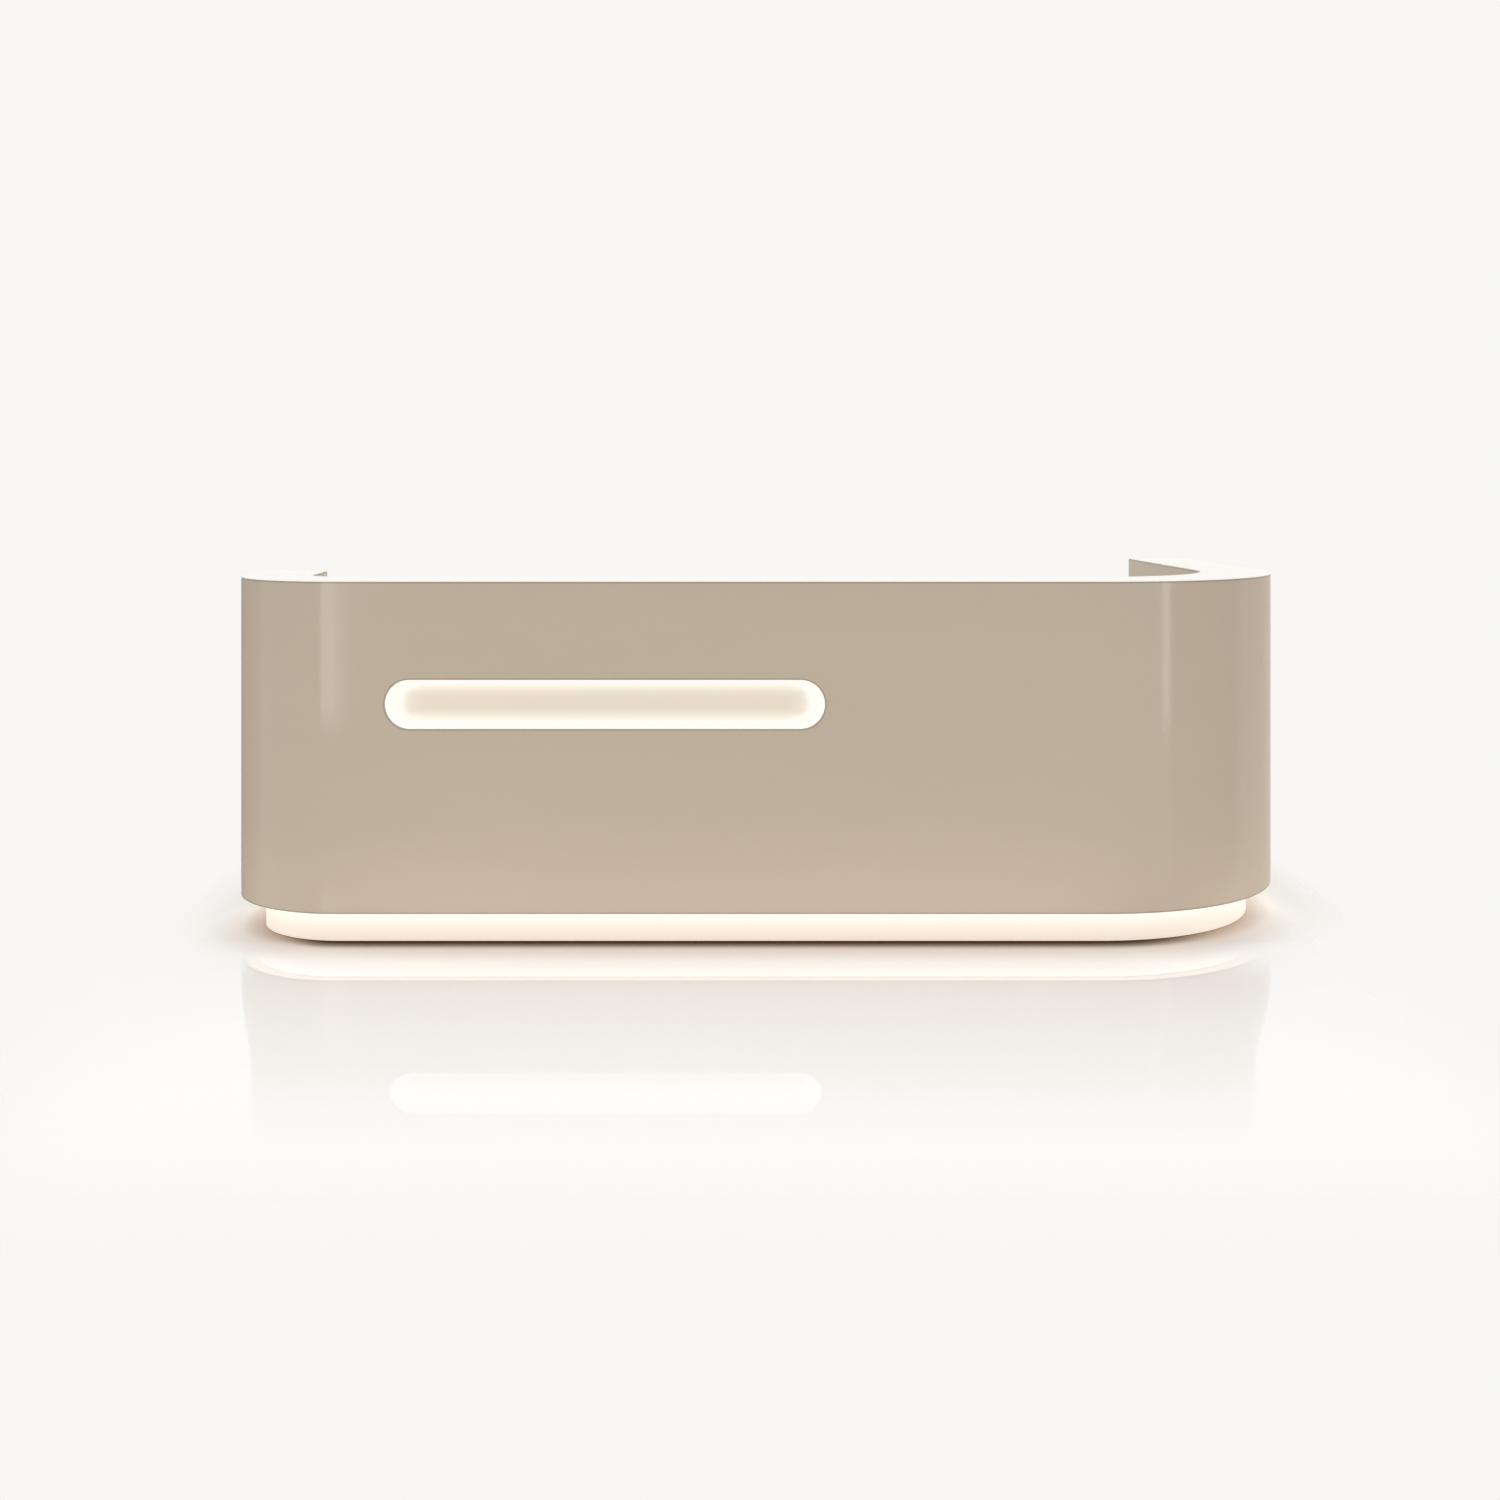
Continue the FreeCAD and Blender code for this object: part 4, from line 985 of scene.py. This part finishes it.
# Tones of the floor's painted shade: round the desk, and where it touches the floor.
FLOOR_SHADE = paint(0.33, 0.215, 0.145)
FLOOR_CONTACT_SHADE = paint(0.060, 0.036, 0.020)
FLOOR_MIDDLE_X = -0.12
SHADE_REACH = 0.22
CONTACT_REACH = 0.095


def emptied(owner):
    """The cleared node tree of a new material or world."""
    owner.use_nodes = True
    owner.node_tree.nodes.clear()
    return owner.node_tree


def shown(tree, factor, first, second):
    return output(tree, "ShaderNodeMixShader", {0: factor, 1: first, 2: second})


def seen(tree):
    """1 for rays from the camera, and for those that mirrors and glass send on."""
    ray = add(tree, "ShaderNodeLightPath").outputs
    sent_on = maths(tree, "MAXIMUM", ray["Is Glossy Ray"], ray["Is Transmission Ray"])
    return maths(tree, "MAXIMUM", ray["Is Camera Ray"], sent_on)


def floor_cover(tree, place, across, out_y, clear):
    """1 close round the desk and in front of it, and for light; 0 further out, where the backdrop shows instead."""
    near = product(tree, ranged(tree, clear, 0.27, 0.0), ranged(tree, place["Y"], 2.9, 1.4))
    front = product(tree, ranged(tree, across, 1.75, 1.20), ranged(tree, out_y, 2.1, 1.1))
    front = product(tree, front, maths(tree, "LESS_THAN", place["Y"], 0.0))
    return maths(tree, "MAXIMUM", maths(tree, "MAXIMUM", near, front), inverse(tree, seen(tree)))


def floor_shade(tree, place, turn):
    """The floor's tone with painted shade, darker where the desk stands close over it, and 0 to 1 out from where the
    desk touches it.
    """
    close = add(tree, "ShaderNodeAmbientOcclusion", {"Distance": SHADE_REACH}, samples=16).outputs["AO"]
    touching = add(tree, "ShaderNodeAmbientOcclusion", {"Distance": CONTACT_REACH}, samples=16).outputs["AO"]
    beside = ranged(tree, place["Y"], -0.62, -0.18, ease="LINEAR")
    contact = maths(tree, "ADD", ranged(tree, touching, 0.50, 0.95, ease="LINEAR"), beside)
    contact = maths(tree, "ADD", contact, ranged(tree, turn, 0.10, 0.75, 0.0, 0.80), clamp=True)
    open_air = ranged(tree, close, 0.14, 0.97, ease="LINEAR")
    open_air = maths(tree, "ADD", open_air, product(tree, beside, 0.5), clamp=True)
    tone = mixed(tree, contact, FLOOR_CONTACT_SHADE, mixed(tree, open_air, FLOOR_SHADE, FLOOR_TONE))
    return tone, contact


def floor_slope(tree, place):
    """The mirror's normal, which leans a little further out, so that the desk's reflection is squashed there."""
    before = maths(tree, "SUBTRACT", FRONT_Y, place["Y"])
    lean = ranged(tree, before, 0.28, 0.95, 0.0, -0.105)
    lean = maths(tree, "ADD", lean, ranged(tree, before, 1.00, 1.40, 0.0, 0.0235, "LINEAR"))
    slope = output(tree, "ShaderNodeCombineXYZ", {"Y": lean, "Z": 1.0})
    return output(tree, "ShaderNodeVectorMath", {0: slope}, operation="NORMALIZE")


def floor_polish(tree, place, across, out_y, line):
    """How much of a mirror the floor is: in front of the desk and on its staff side, less round the front's corners."""
    slow = ranged(tree, out_y, 0.30, 1.10, 1.30, 0.88, "LINEAR")
    fast = ranged(tree, out_y, 0.70, 1.53, 1.494, 0.0, "LINEAR")
    inside = ranged(tree, line["Clear"], -0.05, -0.20)
    in_front = ranged(tree, place["Y"], -0.60, -0.82)
    shown_there = product(tree, maths(tree, "MINIMUM", slow, fast), maths(tree, "MAXIMUM", in_front, inside))
    corner = product(tree, ranged(tree, line["Clear"], 0.45, 0.20), ranged(tree, place["Y"], -0.40, -0.60))
    turning = product(tree, corner, ranged(tree, line["Turn"], 0.15, 0.55, 0.0, 0.92))
    return product(tree, shown_there, ranged(tree, across, 1.52, 1.36), inverse(tree, turning))


def floor_finish():
    """Pale polished floor: painted shade where the desk stands close over it, and fading into the backdrop further out.
    """
    material = bpy.data.materials.new("studio_floor")
    tree = emptied(material)
    spot = object_place(tree)
    place = separated(tree, spot)
    across = maths(tree, "ABSOLUTE", maths(tree, "SUBTRACT", place["X"], FLOOR_MIDDLE_X))
    out_y = maths(tree, "ADD", maths(tree, "ABSOLUTE", place["Y"]), FRONT_Y)
    out_y = maths(tree, "MAXIMUM", out_y, 0.0)
    line = grouped(tree, WALL_LINE, spot)
    tone, contact = floor_shade(tree, place, line["Turn"])
    matt = output(tree, "ShaderNodeBsdfDiffuse", {"Color": tone})
    clear = output(tree, "ShaderNodeBsdfTransparent")
    ground = shown(tree, floor_cover(tree, place, across, out_y, line["Clear"]), clear, matt)
    mirror = {"Color": paint(1.0, 1.0, 1.0), "Roughness": 0.02, "Normal": floor_slope(tree, place)}
    mirror = output(tree, "ShaderNodeBsdfGlossy", mirror)
    glance = output(tree, "ShaderNodeFresnel", {"IOR": 1.45})
    polish = product(tree, glance, contact, floor_polish(tree, place, across, out_y, line))
    add(tree, "ShaderNodeOutputMaterial", {"Surface": shown(tree, polish, ground, mirror)})
    return material


def make_floor():
    mesh = bpy.data.meshes.new("floor")
    mesh.from_pydata([(-7, -7, 0), (7, -7, 0), (7, 7, 0), (-7, 7, 0)], [], [(0, 1, 2, 3)])
    mesh.materials.append(floor_finish())
    floor = linked(bpy.data.objects.new("floor", mesh))


def card_finish(name, strength, soft, tone):
    """Light that fades at the card's two ends and its foot, and that the floor doesn't reflect straight."""
    material = bpy.data.materials.new(name)
    tree = emptied(material)
    spot = separated(tree, add(tree, "ShaderNodeTexCoord").outputs["UV"])
    near, far, low = soft
    arriving = separated(tree, add(tree, "ShaderNodeNewGeometry").outputs["Incoming"])
    rising = ranged(tree, arriving["Z"], -0.02, -0.06)
    first = maths(tree, "LESS_THAN", add(tree, "ShaderNodeLightPath").outputs["Ray Depth"], 1.5)
    level = product(tree, ranged(tree, spot["X"], 0.0, near), ranged(tree, spot["X"], 1.0, 1.0 - far))
    level = product(tree, level, ranged(tree, spot["Y"], 0.0, low), inverse(tree, product(tree, rising, first)))
    glow = output(tree, "ShaderNodeEmission", {"Color": paint(*tone), "Strength": strength})
    clear = output(tree, "ShaderNodeBsdfTransparent")
    add(tree, "ShaderNodeOutputMaterial", {"Surface": shown(tree, level, clear, glow)})
    return material


def make_card(name, foot, across, height, strength, soft, tone=(1.0, 0.97, 0.94)):
    """A lamp or grey card that only the desk reflects: foot is its lower corner, across its width as a vector."""
    x, y, z = foot
    far = (x + across[0], y + across[1])
    mesh = bpy.data.meshes.new(name)
    mesh.from_pydata([(x, y, z), far + (z,), far + (z + height,), (x, y, z + height)], [], [(0, 1, 2, 3)])
    mesh.uv_layers.new(name="UVMap")
    for loop, spot in zip(mesh.uv_layers[0].data, ((0, 0), (1, 0), (1, 1), (0, 1))):
        loop.uv = spot
    mesh.materials.append(card_finish(name, strength, soft, tone))
    card = linked(bpy.data.objects.new(name, mesh))
    card.visible_camera = False
    card.visible_diffuse = False
    card.visible_shadow = False


def make_spill(name, middle, length, turn, power):
    """A thin lamp on the floor that shines up the wall, as the light under it does off a pale floor."""
    lamp = bpy.data.lights.new(name, "AREA")
    lamp.shape = "RECTANGLE"
    lamp.size = length
    lamp.size_y = 0.05
    lamp.energy = power
    spill = linked(bpy.data.objects.new(name, lamp))
    spill.location = middle + (0.004,)
    spill.rotation_euler = (math.pi, 0.0, turn)
    spill.visible_camera = False
    spill.visible_glossy = False


def make_light():
    """Soft light from all round, a little stronger from the front, before a pale backdrop."""
    world = bpy.data.worlds.new("studio")
    bpy.context.scene.world = world
    tree = emptied(world)
    way = separated(tree, add(tree, "ShaderNodeTexCoord").outputs["Generated"])
    level = maths(tree, "ADD", 0.355, product(tree, way["Y"], -0.30))
    level = maths(tree, "MAXIMUM", maths(tree, "ADD", level, way["Z"]), 0.15)
    dome = output(tree, "ShaderNodeBackground", {"Color": paint(1.0, 0.985, 0.965), "Strength": level})
    backdrop = output(tree, "ShaderNodeBackground", {"Color": PALE, "Strength": 1.0})
    add(tree, "ShaderNodeOutputWorld", {"Surface": shown(tree, seen(tree), dome, backdrop)})
    make_card("left_strip", (-2.65, -3.705, 0.14), (0.966, 0.0), 2.2, 5.2, (0.03, 0.018, 0.07))
    make_card("right_strip", (3.18, -2.82, 0.14), (0.20, 0.22), 2.2, 5.2, (0.15, 0.10, 0.07))
    make_card("left_flag", (-2.5, 6.2, -2.2), (-7.0, -5.6), 3.05, 0.36, (0.02, 0.10, 0.02), (1.0, 0.86, 0.68))
    make_card("right_flag", (2.9, 6.2, -2.2), (6.5, -5.0), 3.05, 0.76, (0.02, 0.10, 0.02), (1.0, 0.88, 0.74))
    make_card("right_shade", (3.46, -2.64, -0.5), (1.3, 3.2), 1.9, 0.06, (0.01, 0.30, 0.02))
    make_spill("front_spill", (-0.15, FRONT_Y - 0.15), 2.15, 0.0, 1.02)
    make_spill("left_spill", (-1.532, -0.717), 0.50, -math.pi / 4, 0.19)
    make_spill("right_spill", (1.443, -0.628), 0.95, math.pi / 4, 0.36)


def make_camera():
    lens = bpy.data.cameras.new("camera")
    lens.sensor_width = 36.0
    lens.lens = 44.677
    lens.shift_x = 0.06495
    lens.shift_y = -0.1819
    camera = linked(bpy.data.objects.new("camera", lens))
    camera.location = (-0.337, -5.7737, 1.2823)
    camera.rotation_euler = (math.pi / 2, 0.0, 0.0)
    bpy.context.scene.camera = camera


make_floor()
make_light()
make_camera()
bpy.context.scene.view_settings.view_transform = "Standard"
